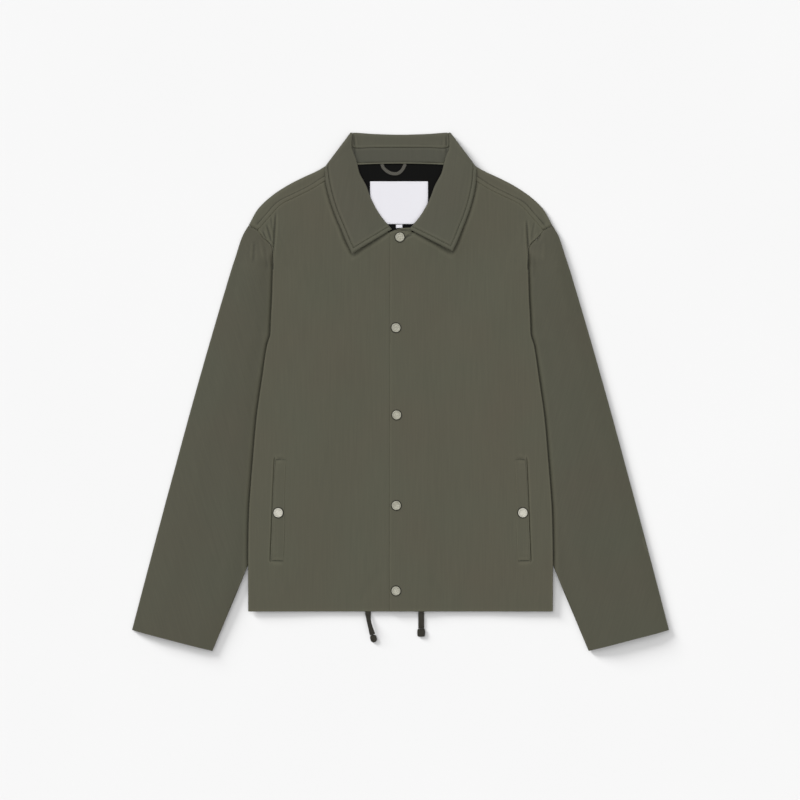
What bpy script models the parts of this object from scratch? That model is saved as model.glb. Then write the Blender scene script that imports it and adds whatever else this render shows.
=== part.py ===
"""A coach jacket laid flat on its back, sleeves down, front side up.

+X is the right of the picture, which is the wearer's left, +Y runs from hem to collar and +Z is
up. The origin is on the surface under the middle of the jacket. Every cloth piece is a thin wall
through its middle surface, made from tables in millimetres. In the tables "out" is the distance
from the centre line, the same for both sides, and "up" is the distance along +Y.
"""

import math

import bmesh
import bpy
from mathutils import Vector
from mathutils.bvhtree import BVHTree

MM = 0.001

# Driving sizes, in millimetres
CLOTH = 1.2  # wall of the body and the sleeves
COLLAR_CLOTH = 1.6  # two plies and interlining
LINING = 1.0
SEAM = 0.3  # gap between two pieces that are sewn together
PLY = CLOTH + 0.4  # from the middle of one layer of body cloth to the next
FLOOR_LEVEL = CLOTH / 2  # middle of a wall that rests on the surface
OPEN_LEVEL = 4.2  # middle of the upper wall where nothing lies under it but air and back
SIDE_SLOPE = 90.0  # how wide the upper wall takes to come down from a side fold
NECK_CENTRE_UP = 325.0  # the raised ground round the neck: centre, flat radius and slope
NECK_RADIUS = 85.0
NECK_SLOPE = 65.0
NECK_RISE = 2.8  # the neck lies higher, over lining, label and collar
BACK_NECK_RISE = 2.0  # the back lies over the fall of the collar
HEM_UP = -340.0
SLEEVE_FLOOR_RISE = 3.2  # how far a sleeve's walls rise where it lies between the folds
SLEEVE_TOP_RISE = 1.2
OVERLAP = 17.0  # how far each front passes the centre line
SNAP_CAP = 15.0
POCKET_CAP = 15.5

# Side of the body from the forward shoulder seam down: where the edge or fold lies, and the
# level of the upper layer there. The first rows are the seam with the sleeve, the rest a fold.
SIDE = [  # (out, up, level)
    (221, 250, 4.2),
    (213, 239, 4.4),
    (205, 232, 5.0),
    (200, 224, 6.0),
    (199, 207, 7.7),
    (199, 189, 8.6),
    (200, 150, 8.6),
    (202, 111, 8.6),
    (203, 88, 8.6),
    (208, 71, 8.6),
    (216, 18, 8.6),
    (224, -39, 8.6),
    (230, -109, 8.6),
    (235, -179, 8.6),
    (236, -230, 8.6),
    (236, -269, 8.6),
    (236, -307, 7.2),
    (236, HEM_UP, 5.4),
]
FIRST_FOLD = 5  # row of SIDE where the cloth starts to turn under
FOLD_RADIUS = PLY / 2
BACK_INSET = 8.0  # how far the fold of the back lies inside that of the front
FOLD_LANDING = 3.8  # middle of a front's flap where it comes down past the sleeve

# Hidden seams under the side fold: the armhole runs to the underarm, the side seam to the hem
ARMHOLE_FOLD = (199, 207)
UNDERARM = (117, 72)
SIDE_SEAM_HEM = (205, HEM_UP)

SHOULDER = [  # (out, up) of the rounded edge from the neck to the sleeve
    (101.5, 360.5),
    (106, 353.4),
    (110.4, 346.4),
    (120.5, 345.4),
    (134, 339),
    (148, 331.4),
    (166, 323),
    (187, 311),
    (202, 300),
    (213, 291),
    (224, 278),
    (233, 265),
    (235, 257),
]
FORWARD_SEAM = [  # (out, up) of the seam between yoke and front, neck to sleeve
    (90, 341),
    (103, 334),
    (117, 326),
    (131, 317),
    (148, 308),
    (175, 295),
    (191, 285),
    (205, 268),
    (215, 257),
    (221, 250),
]
NECKLINE = [(23, 246.5), (42, 258.5), (53, 271), (66, 289), (77, 310), (84, 328), (90, 341)]
BACK_NECKLINE = [(0, 355), (44, 355), (73, 355), (90, 357.6), (101.5, 360.5)]
SHOULDER_SHARES = [0, 0.11, 0.2, 0.34, 0.5, 0.67, 0.83, 1]  # where the columns of a panel meet it
UNDER_CORNER = [(-OVERLAP, 254), (2, 252.3), (13, 248.3)]  # neck edge of the front underneath
UPPER_CORNER = [(-OVERLAP + 1, 247), (-3, 249), (13, 247.3)]

SLEEVE_OUTER = [
    (235, 257),
    (240, 249),
    (246, 237),
    (250, 224),
    (254, 211),
    (257, 203),
    (277.6, 134.5),
    (300.2, 57),
    (322, -20.5),
    (343.1, -98),
    (364.1, -175.5),
    (384.6, -253),
    (403, -323),
    (415, -369),
]
SLEEVE_INNER = [UNDERARM, (236, -268), (292, -401)]
ARMHOLE = [  # (out, up) from the shoulder edge to the underarm
    (235, 257),
    (228, 253.5),
    (221, 250),
    (213, 239),
    (205, 232),
    (200, 224),
    ARMHOLE_FOLD,
    (187, 187),
    (170, 159),
    (152, 130),
    (134, 100),
    UNDERARM,
]
SLEEVE_STATIONS = [  # shares of a sleeve's length
    *(0, 0.012, 0.03, 0.05, 0.075, 0.11, 0.16, 0.22),
    *(0.29, 0.37, 0.46, 0.56, 0.67, 0.78, 0.89, 1),
]

# Collar, one row for each section from the front edge to the middle of the back. Roll is the
# folded edge, edge the outer edge, lip how far the inner ply reaches from the roll, and seam the
# point of the neck seam that the stand reaches.
COLLAR_FRONT = [  # (roll out, roll up, edge out, edge up, lip, seam out, seam up)
    (14, 251, 75, 214, 5, 23, 246.5),
    (27, 266, 84, 233, 6, 42, 258.5),
    (36, 279, 91, 250, 6, 53, 271),
    (46, 298, 102, 276, 6, 66, 289),
    (54, 319, 110, 300, 7, 77, 310),
    (64, 338, 115, 321, 7, 84, 328),
    (69, 358, 117, 336, 9, 90, 341),
    (76, 378, 117, 343, 12, 96, 353),
]
COLLAR_TURN = (77, 400.6, 115, 350, 16, 104.2, 364.2)
COLLAR_BACK = [
    (73, 400.4, 98, 340, 22, 73, 355),
    (44, 398.7, 50, 343, 20.5, 44, 355),
    (22, 397.8, 26, 342, 19.5, 22, 355),
    (0, 397.4, 0, 342, 19, 0, 355),
]
ROLL_RADIUS = 0.9  # half the gap round the roll between inner and outer ply
COLLAR_FLOOR = COLLAR_CLOTH / 2
BACK_BAND_LEVEL = FLOOR_LEVEL + BACK_NECK_RISE

LAY = 0.4  # gap under a piece that lies on another
LINING_SHAPE = [  # (half width, up)
    (72, 353.5),
    (75, 338),
    (67, 299),
    (63, 276),
    (58, 257),
    (48, 235),
]
LABEL_BOX = (-47, 259.5, 42.5, 327)  # x from, y from, x to, y to
SIZE_TAB_BOX = (-7, 253.5, 3, 259)
LOOP_PATH = [(-29, 352.5), (-26, 346), (-17, 339), (-6, 337.5), (2, 342.5), (7.5, 352.5)]
TAPE_WIDTH = 5.0

WELT = [  # (up, inner edge out, opening edge out)
    (-105, 177, 195.5),
    (-130, 178.2, 196.8),
    (-155, 179, 198),
    (-180, 179, 199),
    (-205, 179, 200),
    (-230, 179.8, 201.2),
    (-262, 181, 202.5),
]
FRONT_SNAPS = [(-1, 239), (-7, 99), (-6, -36), (-6.5, -176), (-7, -308)]  # (x, y)
POCKET_SNAP = (189, -187)
SNAP_PROFILE = [  # (share of the radius, level) from the middle of the cap to its underside
    (0, 2.6),
    (0.45, 2.45),
    (0.75, 2.1),
    (0.88, 1.6),
    (1, 1.1),
    (0.98, 0.3),
    (0.9, 0),
    (0, 0),
]

CORD_WIDTH = 9.0
CORD_THICK = 1.8
CORD_TIP_LENGTH = 12.0
CORD_TIP_THICK = 3.0
CORD_LEFT_END = [  # (x, y, z, lean in degrees), on the right of the picture
    (32, -306, 2.4, 0),
    (32, -318, 2.4, 0),
    (32, -331, 2.4, 0),
    (32, -343, 2.2, 0),
    (32, -353, 1.5, 0),
    (32, -362, 1.2, 0),
    (32, -367, 1.2, 0),
]
CORD_RIGHT_END = [
    (-50, -316, 2.4, 0),
    (-50, -329, 2.4, 0),
    (-50.3, -342, 2.5, 0),
    (-49.6, -354, 4.1, 42),
    (-46.4, -366, 4.2, 48),
    (-43.5, -376, 2.7, 20),
]

FABRIC = (0.105, 0.103, 0.075)


def smooth(x):
    """0 below 0, 1 above 1, with a soft start and end between them."""
    x = min(max(x, 0.0), 1.0)
    return x * x * (3 - 2 * x)


def read_off(table, at, column):
    """A column of a table whose rows fall in their second column, read between the rows."""
    if at >= table[0][1]:
        return table[0][column]
    for upper, lower in zip(table, table[1:]):
        if at >= lower[1]:
            part = (upper[1] - at) / (upper[1] - lower[1])
            return upper[column] + part * (lower[column] - upper[column])
    return table[-1][column]


def sample(points, fractions):
    """Points at these fractions of the length of a soft curve through the points."""
    ends = [Vector(p).to_2d() for p in points]
    ends = [2 * ends[0] - ends[1]] + ends + [2 * ends[-1] - ends[-2]]
    dense = [ends[1]]
    steps = 12
    for a, b, c, d in zip(ends, ends[1:], ends[2:], ends[3:]):
        for k in range(1, steps + 1):
            t = k / steps
            dense.append(
                0.5
                * (
                    2 * b
                    + (c - a) * t
                    + (2 * a - 5 * b + 4 * c - d) * t * t
                    + (3 * b - a - 3 * c + d) * t**3
                )
            )
    reach = [0.0]
    for a, b in zip(dense, dense[1:]):
        reach.append(reach[-1] + (b - a).length)
    found = []
    k = 0
    for fraction in fractions:
        want = fraction * reach[-1]
        while k < len(dense) - 2 and reach[k + 1] < want:
            k += 1
        step = reach[k + 1] - reach[k]
        found.append(dense[k].lerp(dense[k + 1], (want - reach[k]) / step))
    return found


def sample_straight(points, fractions):
    """Points at these fractions of the length of straight runs through the points."""
    ends = [Vector(p) for p in points]
    lengths = [(b - a).length for a, b in zip(ends, ends[1:])]
    found = []
    for fraction in fractions:
        left = fraction * sum(lengths)
        k = 0
        while k < len(lengths) - 1 and left > lengths[k]:
            left -= lengths[k]
            k += 1
        found.append(ends[k].lerp(ends[k + 1], left / lengths[k]))
    return found


def even(count):
    return [k / count for k in range(count + 1)]


def fill(top, bottom, start, end):
    """Rows of points between four edges. Top and bottom run from start to end, and start and end
    run from top to bottom, each with its own spacing kept."""
    rows = []
    for j, (s, e) in enumerate(zip(start, end)):
        v = row_share(start, end, j)
        row = []
        for i, (t, b) in enumerate(zip(top, bottom)):
            u = row_share(top, bottom, i)
            ruled = t.lerp(b, v) + s.lerp(e, u)
            corners = top[0].lerp(bottom[0], v).lerp(top[-1].lerp(bottom[-1], v), u)
            row.append(ruled - corners)
        rows.append(row)
    return rows


def row_share(one, other, index):
    """How far along its pair of edges a point lies, from 0 to 1."""
    shares = []
    for edge in (one, other):
        lengths = [(b - a).length for a, b in zip(edge, edge[1:])]
        shares.append(sum(lengths[:index]) / sum(lengths))
    return sum(shares) / 2


def seam_out(up):
    """The hidden armhole and side seam under the fold."""
    if up >= ARMHOLE_FOLD[1]:
        return read_off(SIDE, up, 0)
    return read_off([ARMHOLE_FOLD, UNDERARM, SIDE_SEAM_HEM], up, 0)


def upper_level(out, up, over=False):
    """Middle of the upper body layer: low in the open, higher over the sleeve and at the neck."""
    inside = read_off(SIDE, up, 0) - out
    flap = read_off(SIDE, up, 0) - seam_out(up)
    side = smooth((flap + SIDE_SLOPE - inside) / SIDE_SLOPE)
    neck = 1 - smooth((math.hypot(out, up - NECK_CENTRE_UP) - NECK_RADIUS) / NECK_SLOPE)
    level = OPEN_LEVEL + (read_off(SIDE, up, 2) - OPEN_LEVEL) * side + NECK_RISE * neck
    return level + (PLY * (1 - smooth((out - 20) / 50)) if over else 0)


def back_level(out, up):
    """Middle of the back's lower layer: on the surface, but over the collar at the neck."""
    near = smooth((150 - out) / 30) * smooth((up - 290) / 45)
    return FLOOR_LEVEL + BACK_NECK_RISE * near


def sleeve_levels(out, up):
    """Middles of a sleeve's upper and lower wall, which rise between the folds of the body."""
    beyond = out - read_off(SIDE, up, 0)
    rise = smooth((80 - beyond) / 60) * smooth((235 - up) / 43)
    return OPEN_LEVEL + SLEEVE_TOP_RISE * rise, FLOOR_LEVEL + SLEEVE_FLOOR_RISE * rise


def material(name, colour, roughness, metallic=0.0):
    made = bpy.data.materials.new(name)
    made.use_nodes = True
    shader = made.node_tree.nodes["Principled BSDF"]
    shader.inputs["Base Color"].default_value = (*colour, 1)
    shader.inputs["Roughness"].default_value = roughness
    shader.inputs["Metallic"].default_value = metallic
    made.diffuse_color = (*colour, 1)
    return made


def add_object(name, mesh, colour):
    mesh.materials.append(colour)
    piece = bpy.data.objects.new(name, mesh)
    parts.objects.link(piece)
    return piece


def cloth(name, patches, thickness, colour, mirrored=False):
    """One wall through patches of points in millimetres that join where their edges coincide."""
    bm = bmesh.new()
    for rows in patches:
        grid = [[bm.verts.new(p * MM) for p in row] for row in rows]
        for row, below in zip(grid, grid[1:]):
            for i in range(len(row) - 1):
                bm.faces.new((row[i], row[i + 1], below[i + 1], below[i]))
    bmesh.ops.remove_doubles(bm, verts=bm.verts, dist=0.00001)
    bmesh.ops.recalc_face_normals(bm, faces=bm.faces)
    mesh = bpy.data.meshes.new(name)
    bm.to_mesh(mesh)
    bm.free()
    piece = add_object(name, mesh, colour)
    if mirrored:
        mirror = piece.modifiers.new("other_half", "MIRROR")
        mirror.merge_threshold = 0.0001
    wall = piece.modifiers.new("wall", "SOLIDIFY")
    wall.thickness = thickness * MM
    wall.offset = 0
    mesh.shade_smooth()
    return piece


def turn(centre, outward, radius, angles):
    """Points round a fold: from above the centre, outward, to below it, or the other way round
    where the radius is negative."""
    points = []
    for angle in angles:
        a = math.radians(angle)
        points.append(centre + outward * abs(radius) * math.sin(a) + Vector((0, 0, radius * math.cos(a))))
    return points


def placed(point, side, level):
    """A point of a table on one side of the jacket: side is -1 on the left of the picture."""
    return Vector((side * point[0], point[1], level))


def side_rows(side, inset, levels_of, flap_of):
    """The fold down one side of a body layer and the flap inside it, as rows of points."""
    made = []
    for out, up, level in SIDE[FIRST_FOLD:]:
        start, end = levels_of(level)
        spot = out - inset - FOLD_RADIUS
        centre = placed((spot, up), side, (start + end) / 2)
        row = turn(centre, Vector((side, 0, 0)), (start - end) / 2, (0, 45, 90, 135, 180))
        seam = seam_out(up)
        for share, flap_level in flap_of(out - inset, up):
            row.append(placed((spot + share * (seam - spot), up), side, flap_level))
        made.append(row)
    return made


def front_flap(out, up):
    """Shares of the flap's width, and its level there: over the sleeve, then down to the seam."""
    seam = seam_out(up)
    fold_level = read_off(SIDE, up, 2) - PLY
    sleeve_edge = read_off(SLEEVE_INNER, up, 0)
    on_sleeve = min(max((up + 39) / 110, 0), 1)
    down = FOLD_LANDING + SLEEVE_FLOOR_RISE * on_sleeve
    if up > UNDERARM[1]:
        return [(0.35, fold_level), (0.7, fold_level), (1, fold_level)]
    past = min(max((out - sleeve_edge + 4) / (out - seam), 0.3), 0.97)
    return [(past / 2, fold_level), (past, max(fold_level, down)), (1, min(down, fold_level))]


def make_front(name, side, corner, over, colour):
    """A front: its upper layer, the fold down its side, and the flap turned under the fold."""
    neck = [Vector(p) for p in corner] + sample(NECKLINE, even(6))
    seam = sample(FORWARD_SEAM, SHOULDER_SHARES)
    gap = Vector((0, -SEAM / 2))
    top = neck + [p + gap for p in seam[1:]]
    bottom_at = [row_share(top, top, i) for i in range(len(top))]
    rows = []
    for index, (out, up, level) in enumerate(SIDE):
        inset = 0.4 if index < FIRST_FOLD else FOLD_RADIUS
        rows.append(Vector((out - inset, up + (0.2 if index < FIRST_FOLD else 0))))
    rows[0] = top[-1].copy()
    down = [row_share(rows, rows, j) for j in range(len(rows))]
    centre = [top[0].lerp(Vector((-OVERLAP, HEM_UP)), v) for v in down]
    hem = [centre[-1].lerp(rows[-1], u) for u in bottom_at]
    grid = fill(top, hem, centre, rows)
    upper = []
    for index, row in enumerate(grid):
        made = [placed(p, side, upper_level(p.x, p.y, over)) for p in row]
        made[-1].z = SIDE[index][2]
        upper.append(made)
    fold = side_rows(side, 0, lambda level: (level, level - PLY), front_flap)
    for row, made in zip(fold, upper[FIRST_FOLD:]):
        row[0] = made[-1]
    return cloth(name, [upper, fold], CLOTH, colour)


def make_back(colour):
    """The back: on the surface, turned up at the sides and over the shoulders to the front."""
    shoulder = sample(SHOULDER, SHOULDER_SHARES)
    seam = sample(FORWARD_SEAM, SHOULDER_SHARES)
    neck = sample(BACK_NECKLINE, even(5))
    outward = []
    for index in range(len(shoulder)):
        before = shoulder[max(index - 1, 0)]
        after = shoulder[min(index + 1, len(shoulder) - 1)]
        along = (after - before).normalized()
        outward.append(Vector((-along.y, along.x)))
    radii = []
    for p, q in zip(shoulder, seam):
        radii.append((upper_level(*p.lerp(q, 0.2)) - back_level(*p)) / 2)
    inner = [p - n * r for p, n, r in zip(shoulder, outward, radii)]
    inner[-1] += Vector((-0.3, 0.3))
    top = neck[:-1] + inner
    edge = [inner[-1], Vector((227.5, 253.9))]
    for index, (out, up, level) in enumerate(SIDE):
        inset = 0.5 if index < 4 else 2.0 if index < FIRST_FOLD else BACK_INSET + FOLD_RADIUS
        edge.append(Vector((out - inset, up + (0.3 if index < 4 else 0))))
    down = [row_share(edge, edge, j) for j in range(len(edge))]
    middle = [top[0].lerp(Vector((0, HEM_UP + 2)), v) for v in down]
    edge[-1].y = HEM_UP + 2
    across = [row_share(top, top, i) for i in range(len(top))]
    hem = [middle[-1].lerp(edge[-1], u) for u in across]
    grid = fill(top, hem, middle, edge)
    lower = [[placed(p, 1, back_level(p.x, p.y)) for p in row] for row in grid]
    flap_level = FLOOR_LEVEL + PLY
    fold = side_rows(
        1,
        BACK_INSET,
        lambda level: (FLOOR_LEVEL, flap_level),
        lambda out, up: [(0.5, flap_level), (1, flap_level)],
    )
    for row, made in zip(fold, lower[FIRST_FOLD + 2 :]):
        row[0] = made[-1]
        for p in row:
            p.y = made[-1].y
    yoke = []
    for k in range(len(shoulder)):
        start = lower[0][len(neck) - 1 + k]
        head = upper_level(*shoulder[k].lerp(seam[k], 0.2))
        radius = (head - start.z) / 2
        centre = Vector((start.x, start.y, start.z + radius))
        column = turn(centre, outward[k].to_3d(), radius, (180, 135, 90, 45, 0))
        column[0] = start
        end = seam[k] + Vector((0, SEAM / 2))
        if k == len(shoulder) - 1:
            end += Vector((-0.3, 0.1))
        for share in (0.5, 1):
            spot = column[4].to_2d().lerp(end, share)
            column.append(placed(spot, 1, upper_level(spot.x, spot.y)))
        yoke.append(column)
    return cloth("back_panel", [lower, fold, yoke], CLOTH, colour, mirrored=True)


def make_sleeve(name, side, colour):
    """A sleeve: a flattened tube of rings between its outer and inner edge, open at both ends."""
    shift = Vector((0.1, -0.25))
    top = [Vector(p) + shift for p in ARMHOLE]
    outer = sample_straight(SLEEVE_OUTER, SLEEVE_STATIONS)
    inner = sample_straight(SLEEVE_INNER, SLEEVE_STATIONS)
    outer[0] = top[0].copy()
    inner[0] = top[-1].copy()
    across = [row_share(top, top, i) for i in range(len(top))]
    cuff = [outer[-1].lerp(inner[-1], u) for u in across]
    rings = []
    for row in fill(top, cuff, outer, inner):
        ways = [(row[0] - row[1]).normalized(), (row[-1] - row[-2]).normalized()]
        flat = list(row)
        for end, way in ((0, ways[0]), (-1, ways[1])):
            upper, lower = sleeve_levels(*row[end])
            flat[end] = row[end] - way * (upper - lower) / 2
        above = [placed(p, side, sleeve_levels(*p)[0]) for p in flat]
        below = [placed(p, side, sleeve_levels(*p)[1]) for p in flat]
        ring = list(above)
        for end, way, angles in ((-1, ways[1], (45, 90, 135)), (0, ways[0], (135, 90, 45))):
            centre = (above[end] + below[end]) / 2
            radius = (above[end].z - below[end].z) / 2
            ring += turn(centre, Vector((side * way.x, way.y, 0)), radius, angles)
            if end == -1:
                ring += below[::-1]
        rings.append(ring + [above[0]])
    return cloth(name, [rings], CLOTH, colour)


def collar_sections():
    """Sections of the collar from the front edge on the left of the picture round to the right.
    Each is (side, row, angle, turning): the angle goes from 0 in front to 180 behind."""
    half = [(row, 0, False) for row in COLLAR_FRONT]
    half += [(COLLAR_TURN, angle, True) for angle in (45, 90, 135, 180)]
    half += [(row, 180, False) for row in COLLAR_BACK]
    left = [(-1, *section) for section in half]
    right = [(1, *section) for section in half[:-1]]
    return left + right[::-1]


def collar_point(side, row, angle, turning, distance, outer):
    """A point of the collar's outer or inner ply at a distance from the roll."""
    roll = Vector(row[:2])
    edge = Vector(row[2:4])
    away = (edge - roll).normalized()
    if angle == 180 and not outer and not turning:
        away = Vector((0, -1))
    spot = roll + away * (ROLL_RADIUS + distance)
    above = upper_level(spot.x, spot.y, side > 0)
    top = above + (2 * ROLL_RADIUS if outer else 0)
    bottom = COLLAR_FLOOR if outer else BACK_BAND_LEVEL
    if not turning:
        return placed(spot, side, bottom if angle else top)
    radius = (top - bottom) / 2
    widest = (above + 2 * ROLL_RADIUS - COLLAR_FLOOR) / 2
    outward = Vector((-away.y, away.x))
    turned = math.radians(angle)
    spot += outward * (radius * math.sin(turned) - widest)
    return placed(spot, side, (top + bottom) / 2 + radius * math.cos(turned))


def make_fall(colour):
    """The fall: inner ply, roll and outer ply in one wall, pointed in front, behind the back."""
    rows = []
    for side, row, angle, turning in collar_sections():
        reach = (Vector(row[2:4]) - Vector(row[:2])).length - ROLL_RADIUS
        lip = row[4] - ROLL_RADIUS
        inner = [collar_point(side, row, angle, turning, lip * k, False) for k in (1, 0.5, 0)]
        outer = [collar_point(side, row, angle, turning, reach * k, True) for k in (0, 0.25, 0.5, 0.75, 1)]
        centre = (inner[-1] + outer[0]) / 2
        apart = (outer[0] - inner[-1]) / 2
        bulge = placed((Vector(row[:2]) - Vector(row[2:4])).normalized(), side, 0)
        rolled = []
        for turned in (45, 90, 135):
            a = math.radians(turned)
            rolled.append(centre - apart * math.cos(a) + bulge * (ROLL_RADIUS * math.sin(a)))
        rows.append(inner + rolled + outer)
    return cloth("collar_fall", [rows], COLLAR_CLOTH, colour)


def make_stand(colour):
    """The stand: the band from the inner ply of the fall to the neck seam."""
    rows = []
    for side, row, angle, turning in collar_sections():
        start = collar_point(side, row, angle, turning, row[4] - ROLL_RADIUS + 2 * SEAM, False)
        if turning:
            reach = (Vector(row[5:7]) - Vector(row[:2])).length - ROLL_RADIUS
            end = collar_point(side, row, angle, turning, reach, False)
        else:
            level = BACK_BAND_LEVEL if angle else upper_level(row[5], row[6], side > 0)
            end = placed(row[5:7], side, level)
        end += (start - end).normalized() * 2 * SEAM
        rows.append([start, start.lerp(end, 0.5), end])
    return cloth("collar_stand", [rows], CLOTH, colour)


def surface_under(pieces):
    """A function that gives the height of the highest of these pieces at a place."""
    bpy.context.view_layer.update()
    graph = bpy.context.evaluated_depsgraph_get()
    trees = [BVHTree.FromObject(piece, graph) for piece in pieces]

    def height(x, y):
        tops = []
        for tree in trees:
            hit = tree.ray_cast(Vector((x * MM, y * MM, 0.1)), Vector((0, 0, -1)))[0]
            if hit:
                tops.append(hit.z / MM)
        return max(tops)

    return height


def make_lining(back, colour):
    """The part of the lining that shows in the neck, laid on the back."""
    height = surface_under([back])
    rows = []
    for half, up in LINING_SHAPE:
        row = []
        for share in (-1, -0.5, 0, 0.5, 1):
            x = half * share
            row.append(Vector((x, up, height(x, min(up, 352)) + LAY + LINING / 2)))
        rows.append(row)
    return cloth("back_lining", [rows], LINING, colour)


def make_flat_piece(name, box, under, colour):
    """A small piece with square corners, laid on another."""
    height = surface_under([under])
    x_from, y_from, x_to, y_to = box
    rows = []
    for down in even(4):
        y = y_to + (y_from - y_to) * down
        row = []
        for across in even(2):
            x = x_from + (x_to - x_from) * across
            row.append(Vector((x, y, height(x, y) + LAY + LINING / 2)))
        rows.append(row)
    return cloth(name, [rows], LINING, colour)


def make_loop(under, colour):
    """The hanger loop: a flat tape from the neck seam and back to it."""
    height = surface_under([under])
    spots = sample(LOOP_PATH, even(14))
    rows = []
    for index, spot in enumerate(spots):
        before = spots[max(index - 1, 0)]
        after = spots[min(index + 1, len(spots) - 1)]
        along = (after - before).normalized()
        across = Vector((-along.y, along.x)) * TAPE_WIDTH / 2
        level = height(*spot) + LAY + LINING / 2
        rows.append([placed(spot + across, 1, level), placed(spot - across, 1, level)])
    return cloth("hanger_loop", [rows], LINING, colour)


def make_welt(name, side, front, colour):
    """A pocket welt: a slanted strip laid on its front."""
    height = surface_under([front])
    rows = []
    for up, inner, opening in WELT:
        row = []
        for share in (0, 0.5, 1):
            out = inner + (opening - inner) * share
            row.append(placed((out, up), side, height(side * out, up) + LAY + CLOTH / 2))
        rows.append(row)
    return cloth(name, [rows], CLOTH, colour)


def make_snap(name, x, y, diameter, under, colour):
    """A snap's cap: a low dome with a rolled rim, turned about its own axis."""
    height = surface_under(under)
    radius = diameter / 2
    round_it = [math.radians(angle) for angle in range(0, 360, 30)]
    base = max(height(x + radius * math.cos(a), y + radius * math.sin(a)) for a in round_it)
    mesh = bpy.data.meshes.new(name)
    points = [(share * radius * MM, 0, level * MM) for share, level in SNAP_PROFILE]
    mesh.from_pydata(points, [(k, k + 1) for k in range(len(points) - 1)], [])
    piece = add_object(name, mesh, colour)
    piece.location = (x * MM, y * MM, (base + SEAM) * MM)
    screw = piece.modifiers.new("turned", "SCREW")
    screw.steps = 20
    screw.render_steps = 20
    screw.use_merge_vertices = True
    screw.merge_threshold = 0.00001
    return piece


def make_cord(name, route, colour):
    """A free end of the flat hem cord, as a ribbon along its route."""
    curve = bpy.data.curves.new(name, "CURVE")
    curve.dimensions = "3D"
    curve.twist_mode = "Z_UP"
    curve.bevel_depth = CORD_THICK / 2 * MM
    curve.bevel_resolution = 2
    curve.extrude = (CORD_WIDTH - CORD_THICK) / 2 * MM
    curve.use_fill_caps = True
    spline = curve.splines.new("POLY")
    spline.points.add(len(route) - 1)
    for point, (x, y, z, lean) in zip(spline.points, route):
        point.co = (x * MM, y * MM, z * MM, 1)
        point.tilt = math.radians(90 + lean)
    curve.materials.append(colour)
    piece = bpy.data.objects.new(name, curve)
    parts.objects.link(piece)
    return piece


def make_tip(name, route, width, length, colour):
    """The stitched tip that closes a cord's end."""
    end = Vector(route[-1][:3])
    way = (end - Vector(route[-2][:3])).normalized()
    bm = bmesh.new()
    bmesh.ops.create_cube(bm, size=1)
    bmesh.ops.scale(bm, vec=Vector((width, length, CORD_TIP_THICK)) * MM, verts=bm.verts)
    bmesh.ops.bevel(bm, geom=bm.edges[:], offset=1.2 * MM, segments=2, profile=0.5, affect="EDGES")
    mesh = bpy.data.meshes.new(name)
    bm.to_mesh(mesh)
    bm.free()
    piece = add_object(name, mesh, colour)
    centre = end + Vector((way.x, way.y, 0)).normalized() * (length / 2 + LAY)
    piece.location = Vector((centre.x, centre.y, CORD_TIP_THICK / 2)) * MM
    piece.rotation_euler.z = math.atan2(way.y, way.x) + math.pi / 2
    return piece


for leftover in list(bpy.data.objects):
    bpy.data.objects.remove(leftover)

parts = bpy.data.collections.new("coach_jacket")
bpy.context.scene.collection.children.link(parts)

shell = material("olive_shell", FABRIC, 0.75)
sleeve_shell = material("olive_sleeve_shell", FABRIC, 0.75)
collar_shell = material("olive_collar", FABRIC, 0.7)
lining = material("black_lining", (0.008, 0.008, 0.008), 0.6)
woven_label = material("white_label", (0.82, 0.81, 0.85), 0.7)
tape = material("olive_tape", (0.09, 0.088, 0.08), 0.8)
cap_paint = material("stone_snap_paint", (0.45, 0.44, 0.37), 0.35)
cord_weave = material("dark_cord", (0.05, 0.047, 0.04), 0.85)

back_panel = make_back(shell)
front_right = make_front("front_right", -1, UNDER_CORNER, False, shell)
front_left = make_front("front_left", 1, UPPER_CORNER, True, shell)
make_sleeve("sleeve_right", -1, sleeve_shell)
make_sleeve("sleeve_left", 1, sleeve_shell)
make_fall(collar_shell)
make_stand(collar_shell)
back_lining = make_lining(back_panel, lining)
make_flat_piece("neck_label", LABEL_BOX, back_lining, woven_label)
make_flat_piece("size_tab", SIZE_TAB_BOX, back_lining, woven_label)
make_loop(back_lining, tape)
for side, word, front in ((-1, "right", front_right), (1, "left", front_left)):
    welt = make_welt(f"pocket_welt_{word}", side, front, shell)
    spot = (side * POCKET_SNAP[0], POCKET_SNAP[1])
    make_snap(f"pocket_snap_{word}", *spot, POCKET_CAP, [welt, front], cap_paint)
for number, (x, y) in enumerate(FRONT_SNAPS, 1):
    make_snap(f"front_snap_{number}", x, y, SNAP_CAP, [front_left], cap_paint)
for word, route, width in (("left", CORD_LEFT_END, 12.0), ("right", CORD_RIGHT_END, 10.0)):
    make_cord(f"drawcord_end_{word}", route, cord_weave)
    make_tip(f"drawcord_tip_{word}", route, width, CORD_TIP_LENGTH, cord_weave)
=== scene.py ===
"""The looks of a coach jacket that lies flat, front side up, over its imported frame.

+X is the right of the picture, which is the wearer's left, +Y runs from hem to collar and +Z is
up. Tables are in millimetres. In them "out" is the distance from the centre line, the same for
both sides, and "up" is the distance along +Y.
"""

import math

import bmesh
import bpy
from mathutils import Matrix, Vector
from mathutils.bvhtree import BVHTree


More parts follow.
